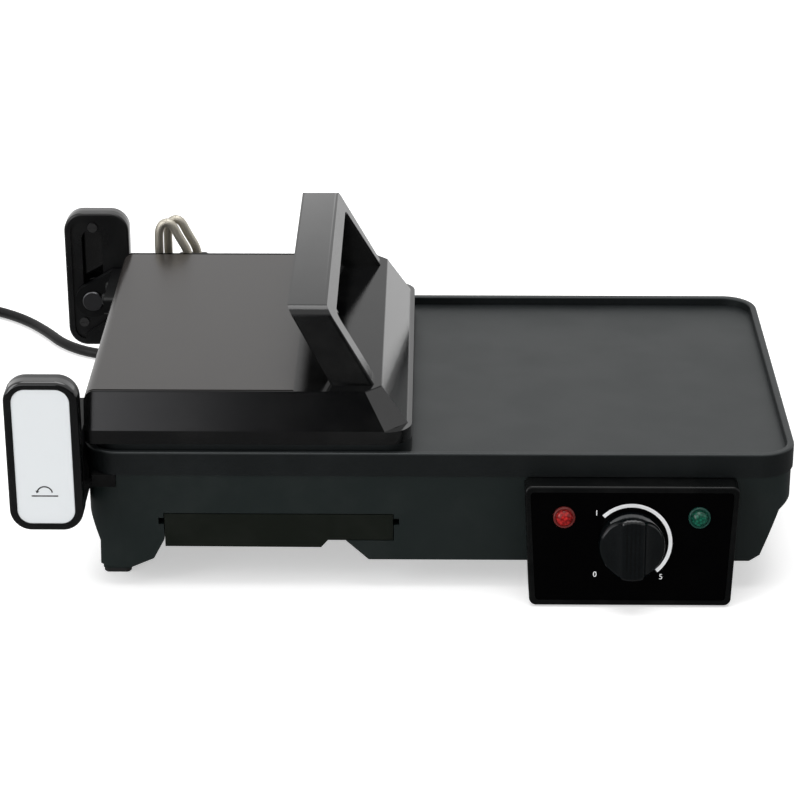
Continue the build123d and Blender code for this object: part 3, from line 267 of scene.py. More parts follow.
class HandlingFilm(Effect):
    """Dust and finger film: a pale tint in soft patches."""

    title = "handling_film"
    inputs = {"Vector": "Vector", "Colour": "Color", "Film": "Color", "Amount": "Float"}
    outputs = {"Colour": "Color"}

    def wire(self, graph: Graph, source: NodeOutputs, target: Node) -> None:
        """Fill the group.

        Args:
            graph: The builder for its tree.
            source: The sockets of its input node.
            target: Its output node.
        """
        patches = graph.add("TexNoise", Vector=source["Vector"], Scale=38.0, Detail=6.0, Roughness=0.62)
        specks = graph.add("TexNoise", Vector=source["Vector"], Scale=900.0, Detail=2.0)
        soft = graph.ramp(patches.outputs["Fac"], 0.42, 0.72)
        dots = graph.ramp(specks.outputs["Fac"], 0.66, 0.78)
        mask = graph.math("MINIMUM", graph.math("ADD", soft, graph.math("MULTIPLY", dots, 0.6)), 1.0)
        share = graph.math("MULTIPLY", mask, source["Amount"])
        graph.feed(target, Colour=graph.mix(share, source["Colour"], source["Film"]))


class BrushedLines(Effect):
    """Long parallel scratches of brushed sheet metal."""

    title = "brushed_lines"
    inputs = {"Vector": "Vector", "Stretch": "Vector", "Mean Roughness": "Float", "Spread": "Float"}
    outputs = {"Roughness": "Float", "Height": "Float"}

    def wire(self, graph: Graph, source: NodeOutputs, target: Node) -> None:
        """Fill the group.

        Args:
            graph: The builder for its tree.
            source: The sockets of its input node.
            target: Its output node.
        """
        pair = (source["Vector"], source["Stretch"])
        placed = graph.add("VectorMath", *pair, settings={"operation": "MULTIPLY"})
        lines = graph.add("TexNoise", Vector=placed.outputs[0], Scale=1.0, Detail=5.0, Roughness=0.7)
        swing = graph.math("SUBTRACT", lines.outputs["Fac"], 0.5)
        change = graph.math("MULTIPLY", swing, source["Spread"])
        roughness = graph.math("ADD", source["Mean Roughness"], change)
        graph.feed(target, Roughness=roughness, Height=lines.outputs["Fac"])


def grained(
    graph: Graph, shader: Node, place: NodeSocket, scale: float, roughness: float, spread: float
) -> NodeSocket:
    """Give a shader the gloss of a moulded grain.

    Args:
        graph: The builder for the material.
        shader: The shader.
        place: The coordinates.
        scale: The grain's scale.
        roughness: The mean roughness.
        spread: How far the roughness swings.

    Returns:
        The grain's height.
    """
    node = MouldGrain().place(graph, Vector=place, Scale=scale, Mean_Roughness=roughness, Spread=spread)
    graph.feed(shader, Roughness=node.outputs["Roughness"])
    return node.outputs["Height"]


@dataclass(frozen=True)
class Finish:
    """What every finish has: a name and one material, made at its first use."""

    title: str

    def material(self) -> Material:
        """Build the finish's material when it is first asked for.

        Returns:
            The material.
        """
        name = f"finish_{self.title}"
        found = bpy.data.materials.get(name)
        if found:
            return found
        material = bpy.data.materials.new(name)
        graph = emptied(material)
        shader = graph.add("BsdfPrincipled")
        graph.add("OutputMaterial", Surface=shader.outputs[0])
        self.wire(graph, shader, graph.places("Object"))
        return material

    def wire(self, graph: Graph, shader: Node, place: NodeSocket) -> None:
        """Feed the Principled shader, with coordinates that move with the piece."""
        raise NotImplementedError

    def bump(
        self, graph: Graph, shader: Node, height: NodeSocket, depth: float, strength: float = 1.0
    ) -> None:
        """Give the shader a bump of a height's socket, with its depth in metres."""
        node = graph.add("Bump", Height=height, Distance=depth, Strength=strength)
        graph.feed(shader, Normal=node.outputs["Normal"])


@dataclass(frozen=True)
class Surface(Finish):
    """A colour under a thin film, with a fine grain: plastics, rubber, glaze, coating and ink."""

    colour: Colour
    roughness: float
    spread: float = 0.06
    grain: float = 2600.0
    depth: float = 0.00002
    film: float = 0.05
    film_colour: Colour = (0.16, 0.16, 0.15)
    coat: float = 0.0
    coat_roughness: float = 0.05
    specular: float = 0.5
    metallic: float = 0.0
    sheen_tint: Colour = (1.0, 1.0, 1.0)
    dull_above: float = 0.0
    dull_edge: float = 0.5 * MM
    dull_share: float = 1.0

    def texture(self, graph: Graph, shader: Node, place: NodeSocket) -> NodeSocket:
        """Give the shader its uneven gloss and return the texture's height."""
        return grained(graph, shader, place, self.grain, self.roughness, self.spread)

    def wire(self, graph: Graph, shader: Node, place: NodeSocket) -> None:
        """Fill the material.

        Args:
            graph: The builder for its tree.
            shader: Its Principled shader.
            place: Coordinates that move with the piece.
        """
        film = HandlingFilm().place(
            graph, Vector=place, Colour=rgba(self.colour), Film=rgba(self.film_colour), Amount=self.film
        )
        specular, coat = self.specular, self.coat
        if self.dull_above:
            level = graph.split(place)["Z"]
            edge = (self.dull_above, self.dull_above + self.dull_edge)
            specular = graph.ramp(level, *edge, specular, specular * self.dull_share)
            coat = graph.ramp(level, *edge, coat, 0.0)
        graph.feed(shader, Base_Color=film.outputs["Colour"], Metallic=self.metallic)
        graph.feed(shader, Specular_IOR_Level=specular, Specular_Tint=rgba(self.sheen_tint))
        graph.feed(shader, Coat_Weight=coat, Coat_Roughness=self.coat_roughness)
        self.bump(graph, shader, self.texture(graph, shader, place), self.depth)


@dataclass(frozen=True)
class SheetMetal(Surface):
    """Brushed, turned or coated metal with its lines along one way."""

    spread: float = 0.16
    depth: float = 0.000006
    film: float = 0.04
    film_colour: Colour = (0.3, 0.29, 0.27)
    metallic: float = 1.0
    stretch: Point = (30.0, 2400.0, 2400.0)

    def texture(self, graph: Graph, shader: Node, place: NodeSocket) -> NodeSocket:
        """Give the shader the gloss of long scratches.

        Args:
            graph: The builder for its tree.
            shader: Its Principled shader.
            place: Coordinates that move with the piece.

        Returns:
            Their height.
        """
        lines = BrushedLines().place(
            graph, Vector=place, Stretch=self.stretch, Mean_Roughness=self.roughness, Spread=self.spread
        )
        graph.feed(shader, Roughness=lines.outputs["Roughness"])
        return lines.outputs["Height"]


@dataclass(frozen=True)
class LampLens(Finish):
    """Tinted clear plastic of a lamp, with a fine cut pattern inside it and the lamp's glow painted into its
    colour.
    """

    tint: Colour
    painted_glow: Colour
    collar: Colour
    side: int
    out: float = 37.7 * MM
    up: float = 17.3 * MM
    dome: float = 4.4 * MM
    rim: float = 5.4 * MM
    cells: float = 620.0
    roughness: float = 0.16
    specular: float = 0.3

    def middle(self) -> Vector:
        """Return the lens's middle on the panel."""
        return DialPrint().at(self.side * self.out, self.up - DialPrint.knob_up)

    def wire(self, graph: Graph, shader: Node, place: NodeSocket) -> None:
        """Fill the material.

        Args:
            graph: The builder for its tree.
            shader: Its Principled shader.
            place: Coordinates that move with the piece.
        """
        away = graph.add("VectorMath", place, tuple(self.middle()), settings={"operation": "DISTANCE"})
        cells = graph.add("TexVoronoi", Vector=place, Scale=self.cells)
        facets = graph.ramp(cells.outputs["Distance"], 0.1, 0.8)
        # Painted glow: the lamp's light is painted as a brighter copy of the tint in the cells of the dome's
        # cut pattern.
        dome = graph.mix(facets, rgba(self.painted_glow), rgba(self.tint))
        rim = graph.ramp(away.outputs["Value"], self.dome, self.rim)
        colour = graph.mix(rim, dome, rgba(self.collar))
        graph.feed(shader, Base_Color=colour, Roughness=self.roughness, Specular_IOR_Level=self.specular)
        self.bump(graph, shader, cells.outputs["Distance"], 0.0004, 0.6)


@dataclass(frozen=True)
class Braid(Finish):
    """Fine steel wires in their own colour on the crossings, with painted shade darkening the colour between
    them.
    """

    wire_colour: Colour
    painted_gap_shade: Colour
    roughness: float
    metallic: float = 0.85
    grain: float = 4200.0
    depth: float = 0.00004

    def wire(self, graph: Graph, shader: Node, place: NodeSocket) -> None:
        """Fill the material.

        Args:
            graph: The builder for its tree.
            shader: Its Principled shader.
            place: Coordinates that move with the piece.
        """
        height = graph.add("Attribute", settings={"attribute_name": Conduit.HEIGHT_LAYER})
        # Painted shade: the colour darkens from the wires into the gaps between them, following the weave's
        # height.
        mask = graph.ramp(height.outputs["Fac"], 0.15, 0.7)
        colour = graph.mix(mask, rgba(self.painted_gap_shade), rgba(self.wire_colour))
        graph.feed(shader, Base_Color=colour, Metallic=self.metallic)
        self.bump(graph, shader, grained(graph, shader, place, self.grain, self.roughness, 0.12), self.depth)


class Finishes:
    """The finishes of the grill's own pieces."""

    HOUSING = Surface("housing_plastic", (0.0095, 0.0145, 0.014), 0.36, film=0.02, depth=0.00003,
                      grain=1800.0, specular=0.24)
    TRAY = Surface("tray_plastic", (0.0065, 0.0085, 0.006), 0.42, film=0.015, specular=0.09)
    GLOSS = Surface("gloss_black_plastic", (0.0016, 0.0017, 0.0019), 0.05, spread=0.02, film=0.02, coat=0.3)
    COVER = Surface("cover_plastic", (0.0016, 0.0017, 0.0019), 0.05, spread=0.02, film=0.02, coat=0.3,
                    dull_above=116.2 * MM, dull_share=0.45)
    HANDLE = Surface("handle_plastic", (0.0018, 0.002, 0.0021), 0.14, spread=0.05, film=0.03)
    ARM = Surface("arm_plastic", (0.0025, 0.0027, 0.003), 0.3, film=0.03, specular=0.35)
    FASCIA = Surface("fascia_gloss", (0.0003, 0.0003, 0.0004), 0.09, spread=0.03, film=0.002, specular=0.06)
    CASE = Surface("case_plastic", (0.0016, 0.0019, 0.002), 0.3, film=0.02, specular=0.16)
    KNOB = Surface("knob_plastic", (0.001, 0.0019, 0.0024), 0.09, spread=0.03, film=0.015, specular=0.4)
    COATING = Surface("non_stick_coating", (0.003, 0.0042, 0.0045), 0.46, spread=0.05, grain=1500.0,
                      depth=0.00007, film=0.1, film_colour=(0.02, 0.024, 0.025), specular=0.41,
                      sheen_tint=(0.93, 0.99, 1.0))
    RUBBER = Surface("foot_rubber", (0.008, 0.008, 0.008), 0.72, grain=1400.0, depth=0.00008, film=0.2)
    CORD = Surface("cord_sheath", (0.0025, 0.0025, 0.0027), 0.45, grain=3200.0, film=0.03, specular=0.2)
    TIE = Surface("tie_plastic", (0.02, 0.02, 0.021), 0.4)
    CERAMIC = Surface("glazed_ceramic", (0.72, 0.69, 0.62), 0.28, film=0.15, film_colour=(0.4, 0.36, 0.3))
    HOLDER = Surface("lamp_holder_plastic", (0.55, 0.55, 0.52), 0.4, film=0.1)
    BRACKET = Surface("painted_steel", (0.0022, 0.0024, 0.0026), 0.42, film=0.03, depth=0.00005,
                      specular=0.16)
    SKIN = SheetMetal("coated_sheet", (0.021, 0.018, 0.0165), 0.26, metallic=0.0, specular=0.41, film=0.05,
                      stretch=(2200.0, 26.0, 2200.0), spread=0.06, film_colour=(0.05, 0.045, 0.04))
    ARM_PLATE = SheetMetal("satin_silver", (0.675, 0.7, 0.715), 0.5, metallic=0.0, film=0.04,
                           film_colour=(0.7, 0.7, 0.7), stretch=(2400.0, 2400.0, 30.0))
    BRIGHT_SHEET = SheetMetal("bright_sheet", (0.66, 0.65, 0.63), 0.25)
    PIN = SheetMetal("turned_steel", (0.09, 0.09, 0.095), 0.3, stretch=(1200.0, 40.0, 1200.0))
    SCREW = SheetMetal("blackened_screw", (0.1, 0.1, 0.1), 0.34)
    ELEMENT = SheetMetal("element_tube", (0.3, 0.27, 0.25), 0.45, film=0.25, film_colour=(0.12, 0.09, 0.07))
    PLUG_PIN = SheetMetal("plug_nickel", (0.74, 0.72, 0.66), 0.16, stretch=(40.0, 900.0, 900.0))
    # The lenses' second colour is the lamp's glow, painted into the base colour.
    RED = LampLens("red_glass", (0.16, 0.002, 0.003), (0.55, 0.02, 0.018), (0.12, 0.018, 0.016), -1)
    GREEN = LampLens("green_glass", (0.001, 0.03, 0.017), (0.006, 0.13, 0.075), (0.008, 0.045, 0.034), 1)
    # The braid's second colour is painted shade between the wires.
    BRAID = Braid("braided_steel", (0.5, 0.47, 0.4), (0.15, 0.135, 0.11), 0.4)
    WHITE_INK = Surface("white_ink", (0.93, 0.94, 0.95), 0.5, spread=0.1, grain=5200.0, depth=0.0, film=0.25,
                        film_colour=(0.78, 0.79, 0.8))
    BLACK_INK = Surface("black_ink", (0.02, 0.02, 0.021), 0.5, spread=0.1, grain=5200.0, depth=0.0, film=0.25,
                        film_colour=(0.06, 0.06, 0.06))


def dress(finish: Finish, *nodes: str) -> None:
    """Give CAD nodes their finish.

    Args:
        finish: The finish that they get.
        *nodes: The nodes' names.
    """
    for node in nodes:
        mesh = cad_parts[node].data
        mesh.materials.clear()
        mesh.materials.append(finish.material())
        LOG.info("%s in %s", node, finish.title)


def linked(name: str, data: ID) -> Object:
    """Make an object and link it to the scene.

    Args:
        name: Its name.
        data: Its data.

    Returns:
        The object.
    """
    thing = bpy.data.objects.new(name, data)
    bpy.context.scene.collection.objects.link(thing)
    return thing


def new_piece(name: str, mesh: Mesh, finish: Finish) -> Object:
    """Put a mesh into the scene as a piece.

    Args:
        name: The piece's name.
        mesh: Its mesh, in the row frame.
        finish: Its finish.

    Returns:
        The new object.
    """
    mesh.materials.append(finish.material())
    LOG.info("%s, %d faces, in %s", name, len(mesh.polygons), finish.title)
    return linked(name, mesh)


def from_bmesh(name: str, mesh: BMesh, finish: Finish, sharp: float = 32.0) -> Object:
    """Finish a mesh that was built in code and put it into the scene.

    Args:
        name: The piece's name.
        mesh: The mesh, freed afterwards.
        finish: The piece's finish.
        sharp: The angle in degrees above which an edge stays crisp, or 0 to leave the faces as they are.

    Returns:
        The new piece.
    """
    bmesh.ops.recalc_face_normals(mesh, faces=mesh.faces)
    if sharp:
        for face in mesh.faces:
            face.smooth = True
        for edge in mesh.edges:
            edge.smooth = edge.calc_face_angle(math.pi) < math.radians(sharp)
    data = bpy.data.meshes.new(name)
    mesh.to_mesh(data)
    mesh.free()
    return new_piece(name, data, finish)


def band(mesh: BMesh, here: list, there: list) -> list[BMFace]:
    """Join two closed loops of points by a band of faces."""
    spots = zip(here, here[1:] + here[:1], there[1:] + there[:1], there)
    return [mesh.faces.new(corners) for corners in spots]


def prism(mesh: BMesh, first: list, second: list) -> list[BMFace]:
    """Close the body between two outlines.

    Args:
        mesh: The mesh that gets the faces.
        first: The points of one outline.
        second: The points of the other.

    Returns:
        The two end faces.
    """
    ends = [mesh.faces.new(first), mesh.faces.new(second)]
    band(mesh, first, second)
    return ends


def stand_for(piece: Object, node: str, body: Body, slot: Slot) -> None:
    """Let a piece take a CAD node's place.

    Args:
        piece: The piece.
        node: The node that it stands for.
        body: The body that it rides on.
        slot: The material slot of the node; not used.
    """
    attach(piece, body.value)
    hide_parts(node)


def reshaped(node: str, finish: Finish, body: Body, slot: Slot, move: Callable[[Vector], Vector]) -> None:
    """Stand a copy of a CAD node in its place, with its points shifted a little.

    Args:
        node: The node's name.
        finish: The copy's finish.
        body: The body that it rides on.
        slot: The material slot of the node.
        move: Gives a point's new place from its old one.
    """
    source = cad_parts[node]
    mesh = source.data.copy()
    mesh.transform(source.matrix_world)
    for vertex in mesh.vertices:
        vertex.co = move(vertex.co)
    mesh.materials.clear()
    stand_for(new_piece(f"{node}_form", mesh, finish), node, body, slot)


def rounded(corners: Sequence[Point], steps: int) -> list[Vector]:
    """Round the corners of a closed outline.

    Args:
        corners: Each corner's two coordinates and its radius.
        steps: The number of straight steps in each rounding.

    Returns:
        The outline's points in the plane.
    """
    result = []
    for k, (x, y, radius) in enumerate(corners):
        here = Vector((x, y))
        if not radius:
            result.append(here)
            continue
        before = (Vector(corners[k - 1][:2]) - here).normalized()
        after = (Vector(corners[(k + 1) % len(corners)][:2]) - here).normalized()
        half = before.angle(after) / 2
        middle = here + (before + after).normalized() * radius / math.sin(half)
        start = here + before * radius / math.tan(half) - middle
        end = here + after * radius / math.tan(half) - middle
        result += [middle + start.slerp(end, n / steps).normalized() * radius for n in range(steps + 1)]
    return result


def nurbs(name: str, points: Sequence[Point], radius: float = 0.0) -> Object:
    """Make a curve object of one open NURBS spline.

    Args:
        name: The object's name.
        points: The control points.
        radius: The radius of the round section, or 0 for a bare line.

    Returns:
        The curve's object, linked to the scene.
    """
    curve = bpy.data.curves.new(name, "CURVE")
    curve.dimensions = "3D"
    curve.resolution_u = 8
    curve.bevel_depth = radius
    curve.bevel_resolution = 5
    curve.use_fill_caps = True
    spline = curve.splines.new("NURBS")
    spline.points.add(len(points) - 1)
    for target, point in zip(spline.points, points):
        target.co = (*point, 1.0)
    spline.order_u = 3
    spline.use_endpoint_u = True
    return linked(name, curve)


def traced(name: str, points: Sequence[Point], resolution: int) -> list[Vector]:
    """Return the places along a NURBS line.

    Args:
        name: The name of the curve, which is removed again.
        points: The control points.
        resolution: The number of steps between two of them.

    Returns:
        The line's points, from its start to its end.
    """
    curve = nurbs(name, points)
    curve.data.resolution_u = resolution
    mesh = bpy.data.meshes.new_from_object(curve)
    places = [vertex.co.copy() for vertex in mesh.vertices]
    bpy.data.objects.remove(curve)
    bpy.data.meshes.remove(mesh)
    return places


@dataclass
class Studio:
    """Camera, floor, world and lamps."""

    camera_place: Point = (0.01685, -1.48028, 0.72740)
    pitch: float = math.radians(24.041)
    yaw: float = math.radians(-0.804)
    roll: float = math.radians(-0.119)
    focal_pixels: float = 2707.27
    frame_pixels: float = 800.0
    sensor: float = 36.0
    floor_half: float = 7.0
    floor_drop: float = 0.2 * MM
    floor_paper: Colour = (0.9, 0.9, 0.9)
    floor_lift: float = 0.48
    floor_dim: float = 0.15
    floor_dim_until: float = 0.0
    floor_white_from: float = 0.3
    ambient: float = 0.42
    room_left: Colour = (1.6, 1.6, 1.65)
    room_right: Colour = (0.01, 0.01, 0.01)
    aim: Point = (0.0, 0.0, 0.06)
    lamps: tuple[tuple[str, Point, float, float], ...] = (
        ("overhead_softbox", (0.1, 0.2, 2.2), 1.8, 34.0),
        ("left_softbox", (-1.8, -1.1, 1.3), 1.2, 16.0),
        ("low_left_softbox", (-1.25, -1.2, 0.3), 0.5, 2.6),
    )

    def camera(self) -> None:
        """Set the camera at the photograph's viewing angle."""
        data = bpy.data.cameras.new("camera")
        data.sensor_width = self.sensor
        data.lens = self.sensor * self.focal_pixels / self.frame_pixels
        camera = linked("camera", data)
        turns = ((-self.yaw, "Z"), (math.pi / 2 - self.pitch, "X"), (self.roll, "Z"))
        camera.matrix_world = Matrix.Translation(self.camera_place)
        for angle, axis in turns:
            camera.matrix_world @= Matrix.Rotation(angle, 4, axis)
        bpy.context.scene.camera = camera

    def floor(self) -> None:
        """Lay the pale floor."""
        mesh = bpy.data.meshes.new("floor")
        half = self.floor_half
        corners = [(-half, -half, 0.0), (half, -half, 0.0), (half, half, 0.0), (-half, half, 0.0)]
        mesh.from_pydata(corners, [], [(0, 1, 2, 3)])
        floor = linked("floor", mesh)
        floor.location.z = -self.floor_drop
        material = bpy.data.materials.new("floor_paper")
        graph = emptied(material)
        paper = graph.add("BsdfDiffuse", Color=rgba(self.floor_paper))
        lift = graph.add("Emission", Color=WHITE, Strength=self.floor_lift)
        shown = graph.add("AddShader", paper.outputs[0], lift.outputs[0])
        depth = graph.split(graph.places("Object"))["Y"]
        behind = graph.ramp(depth, self.floor_dim_until, self.floor_white_from, self.floor_dim, 1.0)
        dim = graph.add("Emission", Color=WHITE, Strength=behind)
        glossy = graph.add("LightPath").outputs["Is Glossy Ray"]
        graph.add("OutputMaterial", Surface=graph.choose(glossy, shown.outputs[0], dim.outputs[0]))
        material.cycles.emission_sampling = "NONE"
        mesh.materials.append(material)

    def world(self) -> None:
        """Make the white room, darker low in front as in the photographer's room."""
        world = bpy.data.worlds.new("studio")
        bpy.context.scene.world = world
        graph = emptied(world)
        path = graph.add("LightPath").outputs
        way = graph.split(graph.places("Generated"))
        front = graph.ramp(way["Y"], -0.35, 0.05, 1.0, 0.0)
        low = graph.ramp(way["Z"], 0.12, 0.42, 1.0, 0.0)
        right = graph.ramp(way["X"], -0.15, -0.06, 0.0, 1.0)
        near = graph.mix(right, rgba(self.room_left), rgba(self.room_right))
        room = graph.mix(graph.math("MULTIPLY", front, low), WHITE, near)
        soft = graph.add("Background", Color=WHITE, Strength=self.ambient)
        shine = graph.add("Background", Color=room, Strength=1.0)
        white = graph.add("Background", Color=WHITE, Strength=1.0)
        unseen = graph.choose(path["Is Glossy Ray"], soft.outputs[0], shine.outputs[0])
        seen = graph.math("MAXIMUM", path["Is Camera Ray"], path["Is Transmission Ray"])
        graph.add("OutputWorld", Surface=graph.choose(seen, unseen, white.outputs[0]))

    def lamp(self, name: str, place: Point, size: float, power: float) -> None:
        """Hang a square soft lamp that points at the grill.

        Args:
            name: The lamp's name.
            place: Where it hangs.
            size: The length of its side.
            power: Its power in watts.
        """
        data = bpy.data.lights.new(name, "AREA")
        data.size = size
        data.energy = power
        lamp = linked(name, data)
        lamp.location = place
        way = Vector(self.aim) - Vector(place)
        lamp.rotation_euler = way.to_track_quat("-Z", "Y").to_euler()

    def build(self) -> None:
        """Set the whole studio."""
        bpy.context.scene.view_settings.view_transform = "Standard"
        self.camera()
        self.floor()
        self.world()
        for lamp in self.lamps:
            self.lamp(*lamp)


@dataclass
class MainsCord:
    """The lead: its run past the back corner to the left, its put-away coil and its plug."""

    diameter: float = 7.0 * MM
    exit_run: Point = (62.0, 264.0, 40.0)
    coil_middle: tuple[float, float] = (-175.0, 373.0)
    coil_out: float = 44.0
    coil_level: float = 4.3
    coil_pitch: float = 9.2
    coil_layer: float = 7.6
    halves_in: int = 3
    halves_out: int = 4
    points_in_half: int = 8
    lead_in: float = 7.0

    def run(self) -> list[Point]:
        """Lay out the free run, in millimetres from the plate's corner.

        Returns:
            Its control points.
        """
        x, y, z = self.exit_run
        coil_x, coil_y = self.coil_middle
        coil_y += self.coil_out
        return [
            (x, y, z), (x, y + 24, z), (57, 314, 27), (39, 331, 13),
            (13, 335, 3.6), (-13, 328, 3.6), (-36, 331, 3.6), (-58, 347, 3.6),
            (-72, 369, 3.6), (-90, 391, 3.6), (-113, 408, 3.7),
            (coil_x + 35, coil_y, self.coil_level), (coil_x + self.lead_in, coil_y, self.coil_level),
        ]

    def coil(self) -> list[Point]:
        """Wind the coil, in half turns that spiral in, climb and spiral out.

        Returns:
            Its control points.
        """
        coil_x, coil_y = self.coil_middle
        step = self.coil_pitch / 2
        reach = [self.coil_out - k * step for k in range(self.halves_in + 1)]
        reach += [reach[-1] + k * step for k in range(self.halves_out + 1)]
        points = []
        for k, (here, there) in enumerate(zip(reach, reach[1:])):
            way = 1 if k % 2 == 0 else -1
            middle = coil_y + way * (here - there) / 2
            radius = (here + there) / 2
            low = self.coil_level + (self.coil_layer if k > self.halves_in else 0.0)
            climb = self.coil_layer if k == self.halves_in else 0.0
            for n in range(self.points_in_half):
                angle = math.pi * n / self.points_in_half
                across, along = way * radius * math.sin(angle), way * radius * math.cos(angle)
                points.append((coil_x - across, middle + along, low + climb * n / self.points_in_half))
        side = 1 if (len(reach) - 1) % 2 == 0 else -1
        y, z = coil_y + side * reach[-1], self.coil_level + self.coil_layer
        return points + [(coil_x, y, z), (coil_x - self.lead_in, y, z)]

    def place(self, point: Point) -> Point:
        """Turn a point from the plate's corner, in millimetres, into the row frame."""
        return (PLATE_X * MM + point[0] * MM, PLATE_Y * MM + point[1] * MM, point[2] * MM)

    def build(self) -> None:
        route = [self.place(p) for p in self.run() + self.coil()]
        cord = nurbs("mains_lead", route, self.diameter / 2)
        cord.data.materials.append(Finishes.CORD.material())
        line = traced("lead_line", route, cord.data.resolution_u)
        length = sum((after - before).length for before, after in zip(line, line[1:]))
        dress(Finishes.CORD, "strain_relief", "plug_body")
        dress(Finishes.TIE, "cord_tie")
        dress(Finishes.PLUG_PIN, "plug_pins")
        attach(cord, Body.BASE.value)
        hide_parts("mains_cord", "mains_cord_coil")
        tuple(route[0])
        LOG.info("mains lead, %.3f m long", length)


@dataclass
class Conduit:
    """One braided pipe that arches from the base to the lid, split where its crown is."""

    HEIGHT_LAYER = "weave_height"

    name: str
    shift: float
    out: float
    radius: float = 2.8 * MM
    left: float = -158.7 * MM
    foot: float = 48.0 * MM
    crown: float = 131.5 * MM
    span: float = 18.5 * MM
    end: float = 108.0 * MM
    straight: float = 34.0 * MM
    tail: float = 4.0 * MM
    arch: tuple[tuple[float, float], ...] = (
        (0.0, -11.0), (0.4, -4.6), (2.6, -0.5), (6.2, 0.6), (9.4, -1.8), (12.4, -8.6),
    )
    carriers: int = 10
    sides: int = 72
    ring_step: float = 0.3 * MM
    relief: float = 0.06

    def line(self) -> list[Vector]:
        """Trace the pipe's centreline, from the base's gland to the lid's.

        Returns:
            Its points.
        """
        x = self.left + self.shift
        route = [
            (x, self.out, self.foot),
            (x, self.out, self.foot + self.straight),
            *((x + across * MM, self.out, self.crown + up * MM) for across, up in self.arch),
            (x + self.span, self.out, self.end + self.tail),
            (x + self.span, self.out, self.end),
        ]
        return traced(f"{self.name}_line", route, 40)

    def rings(self) -> list[tuple[Vector, Vector, float]]:
        """Space the sections evenly along the centreline.

        Returns:
            Each section's middle, its direction and its distance along the pipe.
        """
        points = self.line()
        runs = [after - before for before, after in zip(points, points[1:])]
        reached = [0.0, *accumulate(run.length for run in runs)]
        count = round(reached[-1] / self.ring_step)
        result = []
        for n in range(count + 1):
            at = reached[-1] * n / count
            k = min(bisect_left(reached, at, 1), len(runs)) - 1
            share = (at - reached[k]) / runs[k].length
            result.append((points[k] + runs[k] * share, runs[k].normalized(), at))
        return result

    def weave(self, angle: float, along: float) -> float:
        """Return the braid's height, from 0 between the wires to 1 on a crossing.

        Args:
            angle: The place round the pipe, in radians.
            along: The distance along the pipe.

        Returns:
            The height.
        """
        turn = along / self.radius
        one, two = (math.cos(self.carriers * (angle + way * turn)) for way in (1, -1))
        return 0.5 + 0.25 * one * two + 0.25 * max(one, two)

    def section(self, name: str, rings: list[tuple[Vector, Vector, float]]) -> Object:
        """Make one stretch of the pipe.

        Args:
            name: The piece's name.
            rings: The stretch's sections.

        Returns:
            The new piece.
        """
        mesh = bmesh.new()
        layer = mesh.verts.layers.float.new(self.HEIGHT_LAYER)
        loops = []
        side = Vector((0.0, 1.0, 0.0))
        angles = [2 * math.pi * k / self.sides for k in range(self.sides)]
        for middle, along, distance in rings:
            up = along.cross(side).normalized()
            loops.append([])
            for angle in angles:
                height = self.weave(angle, distance)
                reach = self.radius * (1.0 - self.relief * (1.0 - height))
                vertex = mesh.verts.new(middle + reach * (math.cos(angle) * side + math.sin(angle) * up))
                vertex[layer] = height
                loops[-1].append(vertex)
        for here, there in zip(loops, loops[1:]):
            for face in band(mesh, here, there):
                face.smooth = True
        mesh.faces.new(loops[0])
        mesh.faces.new(loops[-1])
        return from_bmesh(name, mesh, Finishes.BRAID, 0.0)

    def build(self) -> None:
        """Make both stretches, split at the crown with their placement applied to their points, and hide the
        CAD pipe.
        """
        rings = self.rings()
        crown = max(range(len(rings)), key=lambda n: rings[n][0].z)
        rise = self.section(f"{self.name}_rise", rings[: crown + 1])
        fall = self.section(f"{self.name}_fall", rings[crown:])
        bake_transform(rise)
        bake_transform(fall)
        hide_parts(self.name)
        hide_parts(self.name)


def flat_print(
    name: str, outlines: Iterable[Sequence[Point]], out: Vector, depth: float, finish: Finish
) -> Object:
    """Raise flat outlines by the thickness of a print.

    Args:
        name: The piece's name.
        outlines: Closed outlines, each on the surface that carries it.
        out: The way out of the surface.
        depth: The print's thickness.
        finish: Its ink.

    Returns:
        The new piece.
    """
    mesh = bmesh.new()
    for outline in outlines:
        low = [mesh.verts.new(Vector(p)) for p in outline]
        high = [mesh.verts.new(Vector(p) + out * depth) for p in outline]
        prism(mesh, low, high)
    return from_bmesh(name, mesh, finish, 0.0)


def arc_band(
    middle: tuple[float, float], radius: float, wide: float, start: float, end: float, steps: int
) -> list[tuple[float, float]]:
    """Outline a band along an arc.

    Args:
        middle: The arc's centre in the plane.
        radius: The radius at the middle of the band.
        wide: The band's width.
        start: The first angle in degrees.
        end: The last angle in degrees.
        steps: The number of straight steps.

    Returns:
        The outline's points in the plane.
    """
    angles = [math.radians(start + (end - start) * k / steps) for k in range(steps + 1)]
    sweeps = ((radius + wide / 2, angles), (radius - wide / 2, reversed(angles)))
    return [
        (middle[0] + reach * math.cos(angle), middle[1] + reach * math.sin(angle))
        for reach, sweep in sweeps
        for angle in sweep
    ]


